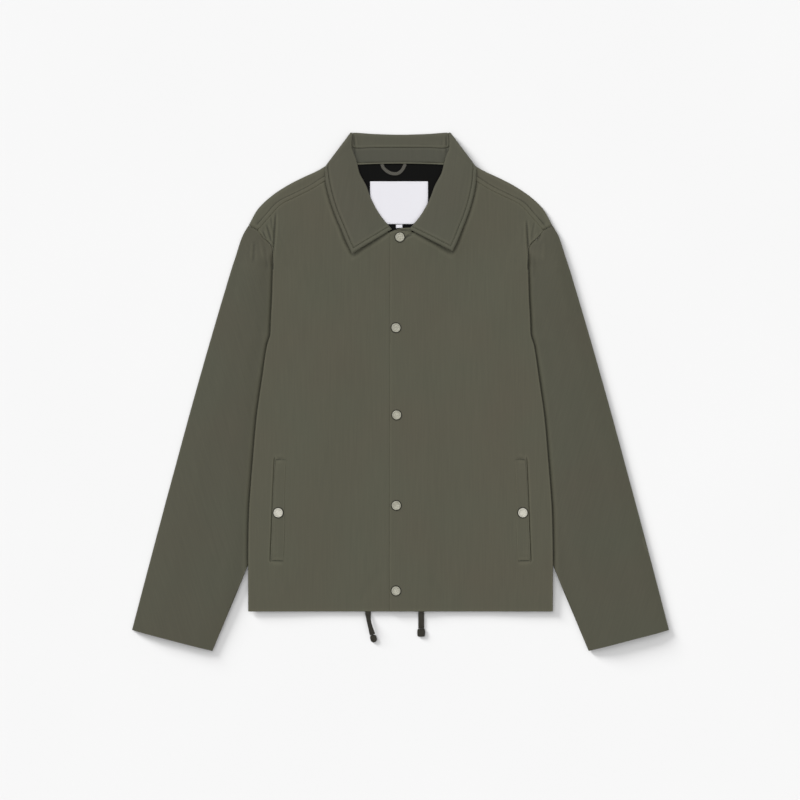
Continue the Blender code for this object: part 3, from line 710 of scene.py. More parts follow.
def make_back():
    """The back's lower layer, its side folds and both yokes."""
    shoulder = sample(SHOULDER, SHOULDER_SHARES)
    seam = sample(FORWARD_SEAM, SHOULDER_SHARES)
    neck = sample(BACK_NECKLINE, even(5))
    outward = []
    for index in range(len(shoulder)):
        before = shoulder[max(index - 1, 0)]
        after = shoulder[min(index + 1, len(shoulder) - 1)]
        along = (after - before).normalized()
        outward.append(Vector((-along.y, along.x)))
    radii = []
    for p, q in zip(shoulder, seam):
        radii.append((upper_level(*p.lerp(q, 0.2)) - back_level(*p)) / 2)
    inner = [p - n * r for p, n, r in zip(shoulder, outward, radii)]
    inner[-1] += Vector((-0.3, 0.3))
    top = neck[:-1] + inner
    edge = [inner[-1], Vector((227.5, 253.9))]
    for index, (out, up, level) in enumerate(SIDE):
        inset = 0.5 if index < 4 else 2.0 if index < FIRST_FOLD else BACK_INSET + FOLD_RADIUS
        edge.append(Vector((out - inset, up + (0.3 if index < 4 else 0))))
    down = [row_share(edge, edge, j) for j in range(len(edge))]
    middle = [top[0].lerp(Vector((0, HEM_UP + 2)), v) for v in down]
    edge[-1].y = HEM_UP + 2
    across = [row_share(top, top, i) for i in range(len(top))]
    hem = [middle[-1].lerp(edge[-1], u) for u in across]
    lower = []
    for row in fill(top, hem, middle, edge):
        lower.append([placed(p, 1, back_level(p.x, p.y)) for p in row])
    flap_level = FLOOR_LEVEL + PLY
    fold = side_rows(
        1,
        BACK_INSET,
        lambda level: (FLOOR_LEVEL, flap_level),
        lambda out, up: [(0.5, flap_level), (1, flap_level)],
    )
    for row, made in zip(fold, lower[FIRST_FOLD + 2 :]):
        row[0] = made[-1]
        for p in row:
            p.y = made[-1].y
    yoke = []
    for k in range(len(shoulder)):
        start = lower[0][len(neck) - 1 + k]
        head = upper_level(*shoulder[k].lerp(seam[k], 0.2))
        radius = (head - start.z) / 2
        centre = Vector((start.x, start.y, start.z + radius))
        column = turn(centre, outward[k].to_3d(), radius, HALF_TURN[::-1])
        column[0] = start
        end = seam[k] + Vector((0, SEAM / 2))
        if k == len(shoulder) - 1:
            end += Vector((-0.3, 0.1))
        for share in (0.5, 1):
            spot = column[6].to_2d().lerp(end, share)
            column.append(placed(spot, 1, upper_level(spot.x, spot.y)))
        yoke.append(column)
    wide = cuts_of(longest(lower), BACK_STEP)
    tall = cuts_of(tallest(lower), BACK_STEP)
    fine_lower = refined(lower, wide, tall)
    fine_fold = refined(fold, cuts_of(longest(fold), FLAP_STEP), tall[FIRST_FOLD + 2 :])
    for row, made in zip(fine_fold, fine_lower[-len(fine_fold) :]):
        row[0] = made[-1]
    for row in fine_lower:
        for p in row[:-1]:
            p.z += max(0.0, -folds_at(p.x, p.y, BACK_FOLDS))
    along = wide[len(neck) - 1 :]
    over = cuts_of(longest(yoke), FINE, end=YOKE_ROWS)
    fine_yoke = refined(yoke, over, along)
    height, width = YOKE_RIDGE
    for column in fine_yoke:
        for p in column[-30:]:
            away = (p - column[-1]).to_2d().length
            if p.z > 3.5:
                p.z += height * smooth(away / 1.3) * (1 - smooth((away - width + 1) / 1.4))
                p.z += rim_dip(away) - 0.3 * math.exp(-(((away - YOKE_STITCH) / 0.8) ** 2))
    patches = [fine_lower, fine_fold, fine_yoke]
    return cloth("shell_back", patches, CLOTH, body_twill, mirrored=True)


shell_back = wear(make_back(), "body_shell", "back_panel")

# Fronts
# Two cuts of the same twill. Each lies on the sleeve at its side, turns under there in a soft
# fold, and is sewn to the back out of sight. The wearer's left one laps over the other.
OVERLAP = 17.0
SLEEVE_FLOOR_RISE = 3.2
FOLD_LANDING = 3.8
SLEEVE_UNDER = (-39, 110)  # up from where the flap lies on the sleeve, more so over this length
NECKLINE = [(23, 246.5), (42, 258.5), (53, 271), (66, 289), (77, 310), (84, 328), (90, 341)]
UNDER_CORNER = [(-OVERLAP, 254), (2, 252.3), (13, 248.3)]
UPPER_CORNER = [(-OVERLAP + 1, 247), (-3, 249), (13, 247.3)]
SLEEVE_INNER = [UNDERARM, (236, -268), (292, -401)]
WELT = [  # (up, inner edge out, opening edge out)
    (-103.5, 177, 194.6),
    (-130, 178.2, 195.6),
    (-155, 179, 196.8),
    (-180, 179, 197.8),
    (-205, 179, 198.8),
    (-230, 179.8, 199.8),
    (-262.5, 181, 201.2),
]
SNAP_CAP = 15.0
POCKET_CAP = 15.5
FRONT_SNAPS = [(-1, 239), (-7, 99), (-6, -36), (-6.5, -176), (-7, -308)]
POCKET_SNAP = (189, -187)
FRONT_FOLDS = {  # (x, y, x, y, half width, height): steps over the armhole, puckers, soft drapes
    -1: [
        (-193.6, 273, -197.6, 212, 1.3, -2.4),
        (-213, 248, -201.5, 221, 1.2, -1.2),
        (-209.5, 247, -199.6, 217, 1.1, 0.8),
        (-207.4, 258, -198.6, 230, 1.4, -1.1),
        (-204, 257, -197.4, 236, 1.2, 0.7),
        (-201, 270, -196.6, 245, 1.5, -0.7),
        (-190, 262, -186, 232, 3.0, -0.3),
        (-14, 250.6, 13, 250.0, 1.1, -1.5),
        (-186, 236, -176, 190, 7, -0.35),
        (-150, 270, -165, 120, 22, 0.4),
        (-95, 190, -120, -20, 30, -0.4),
        (-60, 30, -48, -190, 26, 0.35),
        (-175, 60, -195, -80, 18, -0.4),
        (-100, -150, -140, -300, 28, 0.35),
        (-30, -270, -64, -318, 9, -0.35),
    ],
    1: [
        (195.0, 263, 198.6, 212, 1.3, -2.0),
        (215, 243, 208.5, 230, 1.2, -0.8),
        (211, 246, 203, 224, 1.2, 0.5),
        (207, 262, 202, 236, 1.5, -0.6),
        (190, 256, 187, 226, 3.0, -0.3),
        (19, 247.2, 5, 236.2, 1.1, -1.7),
        (187, 232, 178, 196, 7, -0.3),
        (140, 262, 158, 110, 24, 0.4),
        (88, 150, 110, -40, 28, -0.35),
        (62, 20, 50, -180, 24, 0.35),
        (178, 40, 196, -90, 18, -0.4),
        (96, -160, 132, -300, 26, 0.35),
        (44, -284, 70, -322, 10, -0.3),
    ],
}
BAR_FOLDS = [  # the dents that the pocket bars pull, the same on both sides
    (176.5, -104.6, 196, -104.2, 1.3, -1.2),
    (182, -261.6, 199, -261.4, 1.3, -1.2),
]
for side, folds in FRONT_FOLDS.items():
    folds += [(side * x1, y1, side * x2, y2, *size) for x1, y1, x2, y2, *size in BAR_FOLDS]
FRONT_STEPS = {  # (x, y, x, y, reach, height): the side fold runs on over the armhole as a ledge
    -1: [(-192.4, 273, -197.4, 186, 30, 2.3)],
    1: [(193.6, 265, 197.8, 186, 28, 1.9), (20, 247.5, 5, 236.8, 9, 1.0)],
}
POCKET_MOUTH = (0.2, 1.1, -2.4)  # how far outside the welt, half width and depth of its groove
MOUTH_PAST = 2  # how far the groove runs past the ends of the welt
MOUTH_SOFT = 6
COLLAR_FRONT = [  # (roll out, roll up, edge out, edge up, lip, seam out, seam up)
    (14, 251, 75, 214, 5, 23, 246.5),
    (27, 266, 84, 233, 6, 42, 258.5),
    (36, 279, 91, 250, 6, 53, 271),
    (46, 298, 102, 276, 6, 66, 289),
    (54, 319, 110, 300, 7, 77, 310),
    (64, 338, 115, 321, 7, 84, 328),
    (69, 358, 117, 336, 9, 90, 341),
    (76, 378, 117, 343, 12, 96, 353),
]
LEAF_SPLAY = [  # (out, up) by which the wearer's left leaf lies further out, for the first rows
    (5.2, 3.4),
    (4.4, 1.6),
    (3.8, 0.6),
    (2.8, 0),
    (1.8, 0),
    (1.0, 0),
]
LEAF_PRESS = (1.6, 2.6)  # depth and half width of the mark that a leaf's edge leaves in a front


def front_flap(out, up):
    """Shares of the flap's width, and its level there: over the sleeve, then down to the seam."""
    seam = seam_out(up)
    fold_level = read_off(SIDE, up, 2) - PLY
    sleeve_edge = read_off(SLEEVE_INNER, up, 0)
    on_sleeve = min(max((up - SLEEVE_UNDER[0]) / SLEEVE_UNDER[1], 0), 1)
    down = FOLD_LANDING + SLEEVE_FLOOR_RISE * on_sleeve
    if up > UNDERARM[1]:
        return [(0.35, fold_level), (0.7, fold_level), (1, fold_level)]
    past = min(max((out - sleeve_edge + 4) / (out - seam), 0.3), 0.97)
    return [(past / 2, fold_level), (past, max(fold_level, down)), (1, min(down, fold_level))]


def pocket_mouth(out, up):
    """The groove in a front that shows as a dark line along its welt's opening edge."""
    offset, width, depth = POCKET_MOUTH
    along = smooth((WELT[0][0] + MOUTH_PAST - up) / MOUTH_SOFT)
    along *= smooth((up - WELT[-1][0] + MOUTH_PAST) / MOUTH_SOFT)
    away = out - read_off([(row[2], row[0]) for row in WELT], up, 0) - offset
    return depth * along * math.exp(-((away / width) ** 2)) if along else 0


def off_line(p, a, b):
    """Distance of a place from the stretch between two others."""
    run = b - a
    along = min(max((p - a).dot(run) / run.length_squared, 0), 1)
    return (p - a - run * along).length


def leaf_edge(side, row):
    """Where the outer edge of the collar lies in one of its sections."""
    edge = Vector(row[2:4])
    if side > 0 and row in COLLAR_FRONT[: len(LEAF_SPLAY)]:
        edge += Vector(LEAF_SPLAY[COLLAR_FRONT.index(row)])
    return edge


def leaf_press(p, line):
    """How far the edge of the collar, which follows this line, has pressed a front down."""
    if p.y < line[1].y - 10:
        return 0
    away = min(off_line(p.to_2d(), a, b) for a, b in zip(line, line[1:]))
    return -LEAF_PRESS[0] * math.exp(-((away / LEAF_PRESS[1]) ** 2))


def make_front(name, side, corner, over):
    """A front: its upper layer, the fold down its side, and the flap turned under the fold."""
    neck = [Vector(p) for p in corner] + sample(NECKLINE, even(6))
    seam = sample(FORWARD_SEAM, SHOULDER_SHARES)
    top = neck + [p - Vector((0, SEAM / 2)) for p in seam[1:]]
    bottom_at = [row_share(top, top, i) for i in range(len(top))]
    rows = []
    for index, (out, up, level) in enumerate(SIDE):
        inset = 0.4 if index < FIRST_FOLD else FOLD_RADIUS
        rows.append(Vector((out - inset, up + (0.2 if index < FIRST_FOLD else 0))))
    rows[0] = top[-1].copy()
    down = [row_share(rows, rows, j) for j in range(len(rows))]
    centre = [top[0].lerp(Vector((-OVERLAP, HEM_UP)), v) for v in down]
    hem = [centre[-1].lerp(rows[-1], u) for u in bottom_at]
    upper = []
    for index, row in enumerate(fill(top, hem, centre, rows)):
        made = [placed(p, side, upper_level(p.x, p.y, over)) for p in row]
        made[-1].z = SIDE[index][2]
        upper.append(made)
    fold = side_rows(side, 0, lambda level: (level, level - PLY), front_flap)
    for row, made in zip(fold, upper[FIRST_FOLD:]):
        row[0] = made[-1]
    columns = len(upper[0]) - 1
    wide = cuts_of(longest(upper), FINE, start=RIM, fine=(0, 1, *range(columns - 4, columns)))
    tall = cuts_of(tallest(upper), FINE + 0.6, start=RIM, end=RIM, fine=(*range(5), 11, 14))
    fine_upper = refined(upper, wide, tall)
    fine_fold = refined(fold, cuts_of(longest(fold), FLAP_STEP), tall[FIRST_FOLD:])
    first, last = fine_upper[0], fine_upper[-1]
    leaf = [Vector(COLLAR_FRONT[0][:2])] + [leaf_edge(side, row) for row in COLLAR_FRONT]
    leaf = [Vector((side * p.x, p.y)) for p in leaf]
    folds, steps = FRONT_FOLDS[side], FRONT_STEPS[side]
    for row in fine_upper:
        for k, p in enumerate(row[:-1]):
            p.z += folds_at(p.x, p.y, folds) + steps_at(p.x, p.y, steps, side)
            p.z += pocket_mouth(side * p.x, p.y) + leaf_press(p, leaf)
            p.z += rim_dip((p - first[k]).length) + rim_dip((p - last[k]).length)
            p.z += rim_dip((p - row[0]).length, 0.3)
    for row, made in zip(fine_fold, fine_upper[-len(fine_fold) :]):
        row[0] = made[-1]
    return cloth(name, [fine_upper, fine_fold], CLOTH, body_twill)


shell_right = make_front("shell_front_right", -1, UNDER_CORNER, False)
wear(shell_right, "body_shell", "front_right")
shell_left = make_front("shell_front_left", 1, UPPER_CORNER, True)
wear(shell_left, "body_shell", "front_left")

# Sleeves
# Each sleeve is one cut sewn into a tube and set into the armhole. It lies pressed flat, a little
# proud in the middle, with its inner edge between the folds of the body and its cuff open.
SLEEVE_TOP_RISE = 1.2
SLEEVE_CROWN = 5.0
SLEEVE_VALLEY = (3.0, 3.4)  # depth and width of the valley beside the body's fold
SLEEVE_PUFF = 38  # from either edge to where the crown is full
CAP_PUFF = 60  # and from the armhole
ARMHOLE_SHIFT = (0.1, -0.25)
SLEEVE_RISE_PLACE = (80, 60, 235, 43)  # out where it ends, softness, up where it ends, softness
UNDER_SOFT = 12  # half the length over which the sleeve's cap comes out from under the fold
OPEN_FROM = (3, 40)  # distance from the fold where the sleeve starts to puff, and width of that
FOLD_CLEAR = 8  # from the fold to where the sleeve's creases are full
SLEEVE_OUTER = [
    (235, 257),
    (240, 249),
    (246, 237),
    (250, 224),
    (254, 211),
    (257, 203),
    (277.6, 134.5),
    (300.2, 57),
    (322, -20.5),
    (343.1, -98),
    (364.1, -175.5),
    (384.6, -253),
    (403, -323),
    (415, -369),
]
ARMHOLE = [  # (out, up)
    (235, 257),
    (228, 253.5),
    (221, 250),
    (213, 239),
    (205, 232),
    (199, 224),
    ARMHOLE_FOLD,
    (187, 187),
    (170, 159),
    (152, 130),
    (134, 100),
    UNDERARM,
]
SLEEVE_STATIONS = [
    *(0, 0.012, 0.03, 0.05, 0.075, 0.11, 0.16, 0.22),
    *(0.29, 0.37, 0.46, 0.56, 0.67, 0.78, 0.89, 1),
]
SLEEVE_FOLDS = {
    -1: [
        (-226.6, 232, -227.8, 200, 1.5, -1.0),
        (-229.5, 230, -230.5, 206, 1.8, 0.5),
        (-218, 236, -213, 208, 2.2, 0.6),
        (-211, 222, -206, 190, 2.2, -0.5),
        (-236, 214, -262, 120, 9, 0.5),
        (-212, 120, -236, 10, 10, -0.6),
        (-262, 60, -300, -90, 16, 0.6),
        (-252, -60, -262, -200, 12, -0.5),
        (-330, -100, -352, -250, 15, -0.5),
        (-290, -220, -318, -350, 14, 0.5),
    ],
    1: [
        (217.5, 243.5, 210.5, 232, 1.5, -0.9),
        (222, 232, 219, 204, 2.2, 0.5),
        (208, 212, 205.5, 176, 2.6, -0.5),
        (238, 210, 258, 118, 9, 0.5),
        (214, 112, 238, 4, 10, -0.6),
        (264, 50, 304, -96, 16, 0.6),
        (254, -70, 266, -206, 12, -0.5),
        (334, -110, 350, -240, 15, -0.5),
        (292, -214, 322, -352, 14, 0.5),
    ],
}


def sleeve_levels(out, up):
    """Middles of a sleeve's upper and lower wall, which rise between the folds of the body."""
    beyond = out - read_off(SIDE, up, 0)
    out_to, out_soft, up_to, up_soft = SLEEVE_RISE_PLACE
    rise = smooth((out_to - beyond) / out_soft) * smooth((up_to - up) / up_soft)
    return OPEN_LEVEL + SLEEVE_TOP_RISE * rise, FLOOR_LEVEL + SLEEVE_FLOOR_RISE * rise


def sample_straight(points, fractions):
    """Points at these fractions of the length of straight runs through the points."""
    ends = [Vector(p) for p in points]
    lengths = [(b - a).length for a, b in zip(ends, ends[1:])]
    found = []
    for fraction in fractions:
        left = fraction * sum(lengths)
        k = 0
        while k < len(lengths) - 1 and left > lengths[k]:
            left -= lengths[k]
            k += 1
        found.append(ends[k].lerp(ends[k + 1], left / lengths[k]))
    return found


def swell(distance, reach):
    """0 at an edge, 1 from this reach on, in one convex curve."""
    left = 1 - min(max(distance / reach, 0.0), 1.0)
    return 1 - left * left


def make_sleeve(name, side, material):
    """A flattened tube of rings between the outer and the inner edge."""
    top = [Vector(p) + Vector(ARMHOLE_SHIFT) for p in ARMHOLE]
    outer = sample_straight(SLEEVE_OUTER, SLEEVE_STATIONS)
    inner = sample_straight(SLEEVE_INNER, SLEEVE_STATIONS)
    outer[0] = top[0].copy()
    inner[0] = top[-1].copy()
    across = [row_share(top, top, i) for i in range(len(top))]
    cuff = [outer[-1].lerp(inner[-1], u) for u in across]
    rows = fill(top, cuff, outer, inner)
    flat_rows = [[p.to_3d() for p in row] for row in rows]
    wide = cuts_of(longest(flat_rows), FINE, start=RIM, end=RIM)
    tall = cuts_of(tallest(flat_rows), 2 * FINE, start=RIM, end=RIM, fine=range(6))
    valley, valley_width = SLEEVE_VALLEY
    rings = []
    fine = refined(flat_rows, wide, tall)
    for j, row in enumerate(fine):
        row = [p.to_2d() for p in row]
        head = (row[len(row) // 4] - fine[0][len(row) // 4].to_2d()).length
        ways = [(row[0] - row[1]).normalized(), (row[-1] - row[-2]).normalized()]
        flat = list(row)
        for end, way in ((0, ways[0]), (-1, ways[1])):
            upper, lower = sleeve_levels(*row[end])
            flat[end] = row[end] - way * (upper - lower) / 2
        above, below = [], []
        for k, p in enumerate(flat):
            upper, lower = sleeve_levels(*p)
            beside = p.x - read_off(SIDE, p.y, 0)
            under = smooth((p.y - ARMHOLE_FOLD[1] + UNDER_SOFT) / (2 * UNDER_SOFT))
            open_way = swell(beside - OPEN_FROM[0], OPEN_FROM[1])
            open_way += (1 - open_way) * under
            crown = swell((p - row[0]).length, SLEEVE_PUFF)
            crown *= swell((p - row[-1]).length, SLEEVE_PUFF)
            crown *= open_way * swell(head, CAP_PUFF)
            upper += SLEEVE_CROWN * crown
            fold = folds_at(side * p.x, p.y, SLEEVE_FOLDS[side])
            upper += fold * max(swell(beside, FOLD_CLEAR), under)
            dip = valley * (1 - under) * math.exp(-(((beside - 0.5) / valley_width) ** 2))
            upper += rim_dip((p - fine[0][k].to_2d()).length) - dip
            above.append(placed(p, side, upper))
            below.append(placed(p, side, lower - dip))
        ring = list(above)
        for end, way, angles in ((-1, ways[1], HALF_TURN[1:-1]), (0, ways[0], HALF_TURN[-2:0:-1])):
            centre = (above[end] + below[end]) / 2
            radius = (above[end].z - below[end].z) / 2
            ring += turn(centre, Vector((side * way.x, way.y, 0)), radius, angles)
            if end == -1:
                ring += below[::-1]
        rings.append(ring + [above[0].copy()])
    return cloth(name, [rings], CLOTH, material)


sleeves = []
for side, word in ((-1, "right"), (1, "left")):
    # the sleeves' twill is coloured a shade darker than the body's: painted shade, for sleeves
    # that lie lower and roll away at their edges
    sleeve_twill = twill(f"nylon_twill_sleeve_{word}", "#4d4f40", "#504c3e", 16 * side)
    sleeve = make_sleeve(f"tube_sleeve_{word}", side, sleeve_twill)
    sleeves.append(wear(sleeve, "sleeve_shell", f"sleeve_{word}"))

# Collar
# A pointed two-ply fall with interlining, turned over a low stand. Its rim is bagged out, so it is
# round and a little puffed as far as the row of topstitching inside it.
COLLAR_CLOTH = 1.6
ROLL_RADIUS = 0.9
COLLAR_FLOOR = COLLAR_CLOTH / 2
BACK_BAND_LEVEL = FLOOR_LEVEL + BACK_NECK_RISE
COLLAR_TURN = (77, 400.6, 115, 350, 16, 104.2, 364.2)
COLLAR_BACK = [
    (73, 400.4, 98, 340, 22, 73, 355),
    (44, 398.7, 50, 343, 20.5, 44, 355),
    (22, 397.8, 26, 342, 19.5, 22, 355),
    (0, 397.4, 0, 342, 19, 0, 355),
]
COLLAR_CORNER = 0.25  # how much the back corner is eased, so that its top edge runs level
COLLAR_RIM = 5.9  # from the edge to the topstitching
COLLAR_PUFF = 0.75
PUFF_RAMP = (2.2, 4.4, 1.5)  # it rises over this width, is full so far in, and falls over this
COLLAR_GROOVE = (1.1, 1.1)  # depth and half width of the groove that the stitches pull
COLLAR_ROWS = (0.4, 1.0, 1.9, 3.0, 4.1, 5.0, 5.5, 5.9, 6.3, 6.9, 7.8)  # by the rim and groove
TIP_LIFT = {-1: 2.4, 1: 4.2}  # how far the front ends stand off the fronts
EDGE_LIFT = 1.6  # how far the outer edge does all round
LEAF_CROWN = 2.2  # how far the middle of the leaf bows up
TIP_REACH = 62  # how far from its corner the lift of a front end is felt
LEAF_SOFT = 40  # how far from the roll that lift is full
NECK_FROM = 355  # the creases at the back corners are only above here
STAND_FROM = 352
INNER_SPANS = 2  # spans of the inner ply, and those up to the start of the outer ply
OUTER_START = 8
COLLAR_FOLDS = [  # short creases of the inner ply where it turns at the back corners
    (-72.5, 396, -70.5, 366, 1.5, -0.7),
    (-69, 392, -66.5, 374, 1.3, 0.45),
    (-75.5, 388, -73, 364, 1.2, 0.4),
    (70.5, 396, 71.5, 368, 1.5, -0.7),
    (67.5, 388, 66, 372, 1.3, 0.45),
    (74.5, 386, 73, 362, 1.2, 0.4),
    (-66, 379, -40, 381, 2.0, -0.4),
    (30, 381.5, 64, 379, 2.2, -0.4),
]


def collar_sections():
    """Sections of the collar from the front edge on the left of the picture round to the right.
    Each is (side, row, angle, turning): the angle goes from 0 in front to 180 behind."""
    half = [(row, 0, False) for row in COLLAR_FRONT]
    half += [(COLLAR_TURN, angle, True) for angle in (45, 90, 135, 180)]
    half += [(row, 180, False) for row in COLLAR_BACK]
    left = [(-1, *section) for section in half]
    right = [(1, *section) for section in half[:-1]]
    return left + right[::-1]


def collar_point(side, row, angle, turning, distance, outer):
    """A point of the collar's outer or inner ply at a distance from the roll."""
    roll = Vector(row[:2])
    away = (leaf_edge(side, row) - roll).normalized()
    if angle == 180 and not outer and not turning:
        away = Vector((0, -1))
    spot = roll + away * (ROLL_RADIUS + distance)
    above = upper_level(spot.x, spot.y, side > 0)
    top = above + (2 * ROLL_RADIUS if outer else 0)
    bottom = COLLAR_FLOOR if outer else BACK_BAND_LEVEL
    if not turning:
        return placed(spot, side, bottom if angle else top)
    radius = (top - bottom) / 2
    widest = (above + 2 * ROLL_RADIUS - COLLAR_FLOOR) / 2
    outward = Vector((-away.y, away.x * COLLAR_CORNER)).normalized()
    turned = math.radians(angle)
    spot += outward * (radius * math.sin(turned) - widest)
    return placed(spot, side, (top + bottom) / 2 + radius * math.cos(turned))


def make_fall():
    """The fall: inner ply, roll and outer ply in one wall, pointed in front, behind the back."""
    rows = []
    for side, row, angle, turning in collar_sections():
        reach = (leaf_edge(side, row) - Vector(row[:2])).length - ROLL_RADIUS
        lip = row[4] - ROLL_RADIUS
        inner = [collar_point(side, row, angle, turning, lip * k, False) for k in (1, 0.5, 0)]
        outer = []
        for k in (0, 0.25, 0.5, 0.75, 1):
            outer.append(collar_point(side, row, angle, turning, reach * k, True))
        centre = (inner[-1] + outer[0]) / 2
        apart = (outer[0] - inner[-1]) / 2
        bulge = placed((Vector(row[:2]) - leaf_edge(side, row)).normalized(), side, 0)
        rolled = []
        for turned in HALF_TURN[1:-1]:
            a = math.radians(turned)
            rolled.append(centre - apart * math.cos(a) + bulge * (ROLL_RADIUS * math.sin(a)))
        rows.append(inner + rolled + outer)
    across = cuts_of(longest(rows), 2.4, end=COLLAR_ROWS)
    along = cuts_of(tallest(rows), 2.2, start=COLLAR_ROWS, end=COLLAR_ROWS)
    fine = refined(rows, across, along)
    outer_from = sum(len(cut) for cut in across[:OUTER_START])
    inner_to = sum(len(cut) for cut in across[:INNER_SPANS])
    fronts = [[row[k].to_2d() for row in (fine[0], fine[-1])] for k in (outer_from, -1)]
    depth, width = COLLAR_GROOVE
    up_over, full_to, down_over = PUFF_RAMP
    for row in fine:
        for k, p in enumerate(row):
            flat = p.to_2d()
            ends = [off_line(flat, a, b) for a, b in zip(*fronts)]
            if k <= inner_to and p.y > NECK_FROM:
                p.z += folds_at(p.x, p.y, COLLAR_FOLDS)
            if k >= outer_from and p.z > 5:
                away = min(*ends, (row[-1] - p).length)
                puff = smooth(away / up_over) * (1 - smooth((away - full_to) / down_over))
                p.z += COLLAR_PUFF * puff + rim_dip(away, 0.35)
                p.z -= depth * math.exp(-(((away - COLLAR_RIM) / width) ** 2))
                tip = min((flat - corner).length for corner in fronts[1])
                lift = TIP_LIFT[1 if p.x > 0 else -1] * smooth((TIP_REACH - tip) / TIP_REACH)
                p.z += lift * smooth((row[outer_from] - p).length / LEAF_SOFT)
                share = (row[outer_from] - p).length / (row[outer_from] - row[-1]).length
                p.z += EDGE_LIFT * share**2 + LEAF_CROWN * math.sin(math.pi * share)
    return cloth("collar_leaf", [fine], COLLAR_CLOTH, collar_twill)


def make_stand():
    """The stand: the band from the inner ply of the fall to the neck seam."""
    rows = []
    for side, row, angle, turning in collar_sections():
        start = collar_point(side, row, angle, turning, row[4] - ROLL_RADIUS + 2 * SEAM, False)
        if turning:
            reach = (Vector(row[5:7]) - Vector(row[:2])).length - ROLL_RADIUS
            end = collar_point(side, row, angle, turning, reach, False)
        else:
            level = BACK_BAND_LEVEL if angle else upper_level(row[5], row[6], side > 0)
            end = placed(row[5:7], side, level)
        end += (start - end).normalized() * 2 * SEAM
        rows.append([start, start.lerp(end, 0.5), end])
    across = cuts_of(longest(rows), 1.6, start=(0.5, 1.1), end=(0.5, 1.1))
    fine = refined(rows, across, cuts_of(tallest(rows), 2.4))
    for row in fine:
        for p in row:
            if p.y > STAND_FROM:
                p.z += folds_at(p.x, p.y, COLLAR_FOLDS) + rim_dip((p - row[0]).length, 0.4)
    return cloth("collar_band", [fine], CLOTH, stand_twill)


collar_twill = twill("nylon_twill_collar", "#505243", "#534f42", 8)
# the stand's twill is coloured a shade darker than the fall's: painted shade, for the band lying
# low in the neck
stand_twill = twill("nylon_twill_stand", "#4b4d40", "#4e4b40", -4)
collar_leaf = wear(make_fall(), "collar_shell", "collar_fall")
collar_band = wear(make_stand(), "collar_shell", "collar_stand")

# Neck lining, label and size tab
# Black satin lining on the back, a bare white damask label sewn on all round, and under it the
# folded end of the size tab.
LINING = 1.0
LAY = 0.4
BACK_TOP = 352  # up to here the height of the back is read
LABEL_LEVEL = 5.05  # where the label lies when nothing under it pushes it up
LABEL_INSET = 2.4  # from the label's edge to its stitches
TAB_PLY = 0.45
LINING_SHAPE = [  # (half width, up)
    (72, 353.5),
    (75, 338),
    (67, 299),
    (63, 276),
    (58, 257),
    (48, 235),
]
LABEL_BOX = (-47, 259.5, 42.5, 325.6)
SIZE_TAB_BOX = (-7, 253.5, 3, 259)
LINING_FOLDS = [
    (-58, 345, -50, 290, 5, 0.5),
    (56, 345, 50, 292, 5, 0.5),
    (-30, 336, 10, 332, 4, -0.3),
    (44, 340, 46, 296, 3, -0.4),
]
LABEL_FOLDS = [
    (-40, 322, -36, 262, 6, 0.35),
    (0, 320, 6, 266, 14, -0.25),
    (34, 320, 30, 262, 7, 0.4),
]


def height_on(*pieces):
    """A function that gives the height of the highest of these pieces at a place."""
    bpy.context.view_layer.update()
    graph = bpy.context.evaluated_depsgraph_get()
    trees = [BVHTree.FromObject(piece, graph) for piece in pieces]

    def height(x, y):
        tops = [0.0]
        for tree in trees:
            hit = tree.ray_cast(Vector((x * MM, y * MM, 0.1)), Vector((0, 0, -1)))[0]
            if hit:
                tops.append(hit.z / MM)
        return max(tops)

    return height


# Satin: long smooth floats, so it is darker than the twill and has a soft broad shine
lining_satin, tree, shader = finish_of(
    "satin_lining", "#0b0b0a", 0.55, Specular_IOR_Level=0.06
)
floats = node(tree, "ShaderNodeMapping", Vector=own_place(tree))
floats.inputs["Scale"].default_value = (1 / 0.0015, 1 / 0.02, 1)
floats = floats.outputs["Vector"]
thread = node(tree, "ShaderNodeTexNoise", Vector=floats, Scale=1.0, Detail=2.0).outputs["Fac"]
tint(tree, shader, thread, "#090908", "#0e0e0d")
emboss(tree, shader, thread, 0.2, 0.0001)

# Damask: fine cross ribs in bright white yarn, drawn 1.2 mm apart so that they show
label_damask, tree, shader = finish_of("damask_label", "#f0eff4", 0.6, Specular_IOR_Level=0.3)
yarns = []
for way, apart in (("Y", 0.0012), ("X", 0.0018)):
    bands = {"bands_direction": way}
    wave = node(tree, "ShaderNodeTexWave", bands, Vector=own_place(tree), Scale=WAVE_TURN / apart)
    yarns.append(wave.outputs["Fac"])
picks, warp = yarns
woven = node(tree, "ShaderNodeMath", {"operation": "MULTIPLY_ADD"}, i0=warp, i1=0.4, i2=picks)
tint(tree, shader, picks, "#ecebf1", "#f3f2f7")
emboss(tree, shader, woven.outputs["Value"], 0.25, 0.0001)

back_height = height_on(shell_back)
rows = []
for half, up in LINING_SHAPE:
    row = []
    for k in range(-4, 5):
        x = half * k / 4
        row.append(Vector((x, up, back_height(x, min(up, BACK_TOP)) + LAY + LINING / 2)))
    rows.append(row)
fine = refined(rows, cuts_of(longest(rows), 2.5), cuts_of(tallest(rows), 2.5))
for row in fine:
    for p in row:
        p.z += max(folds_at(p.x, p.y, LINING_FOLDS), -0.3)
neck_lining = cloth("neck_lining", [fine], LINING * 0.6, lining_satin)
wear(neck_lining, "black_lining", "back_lining")

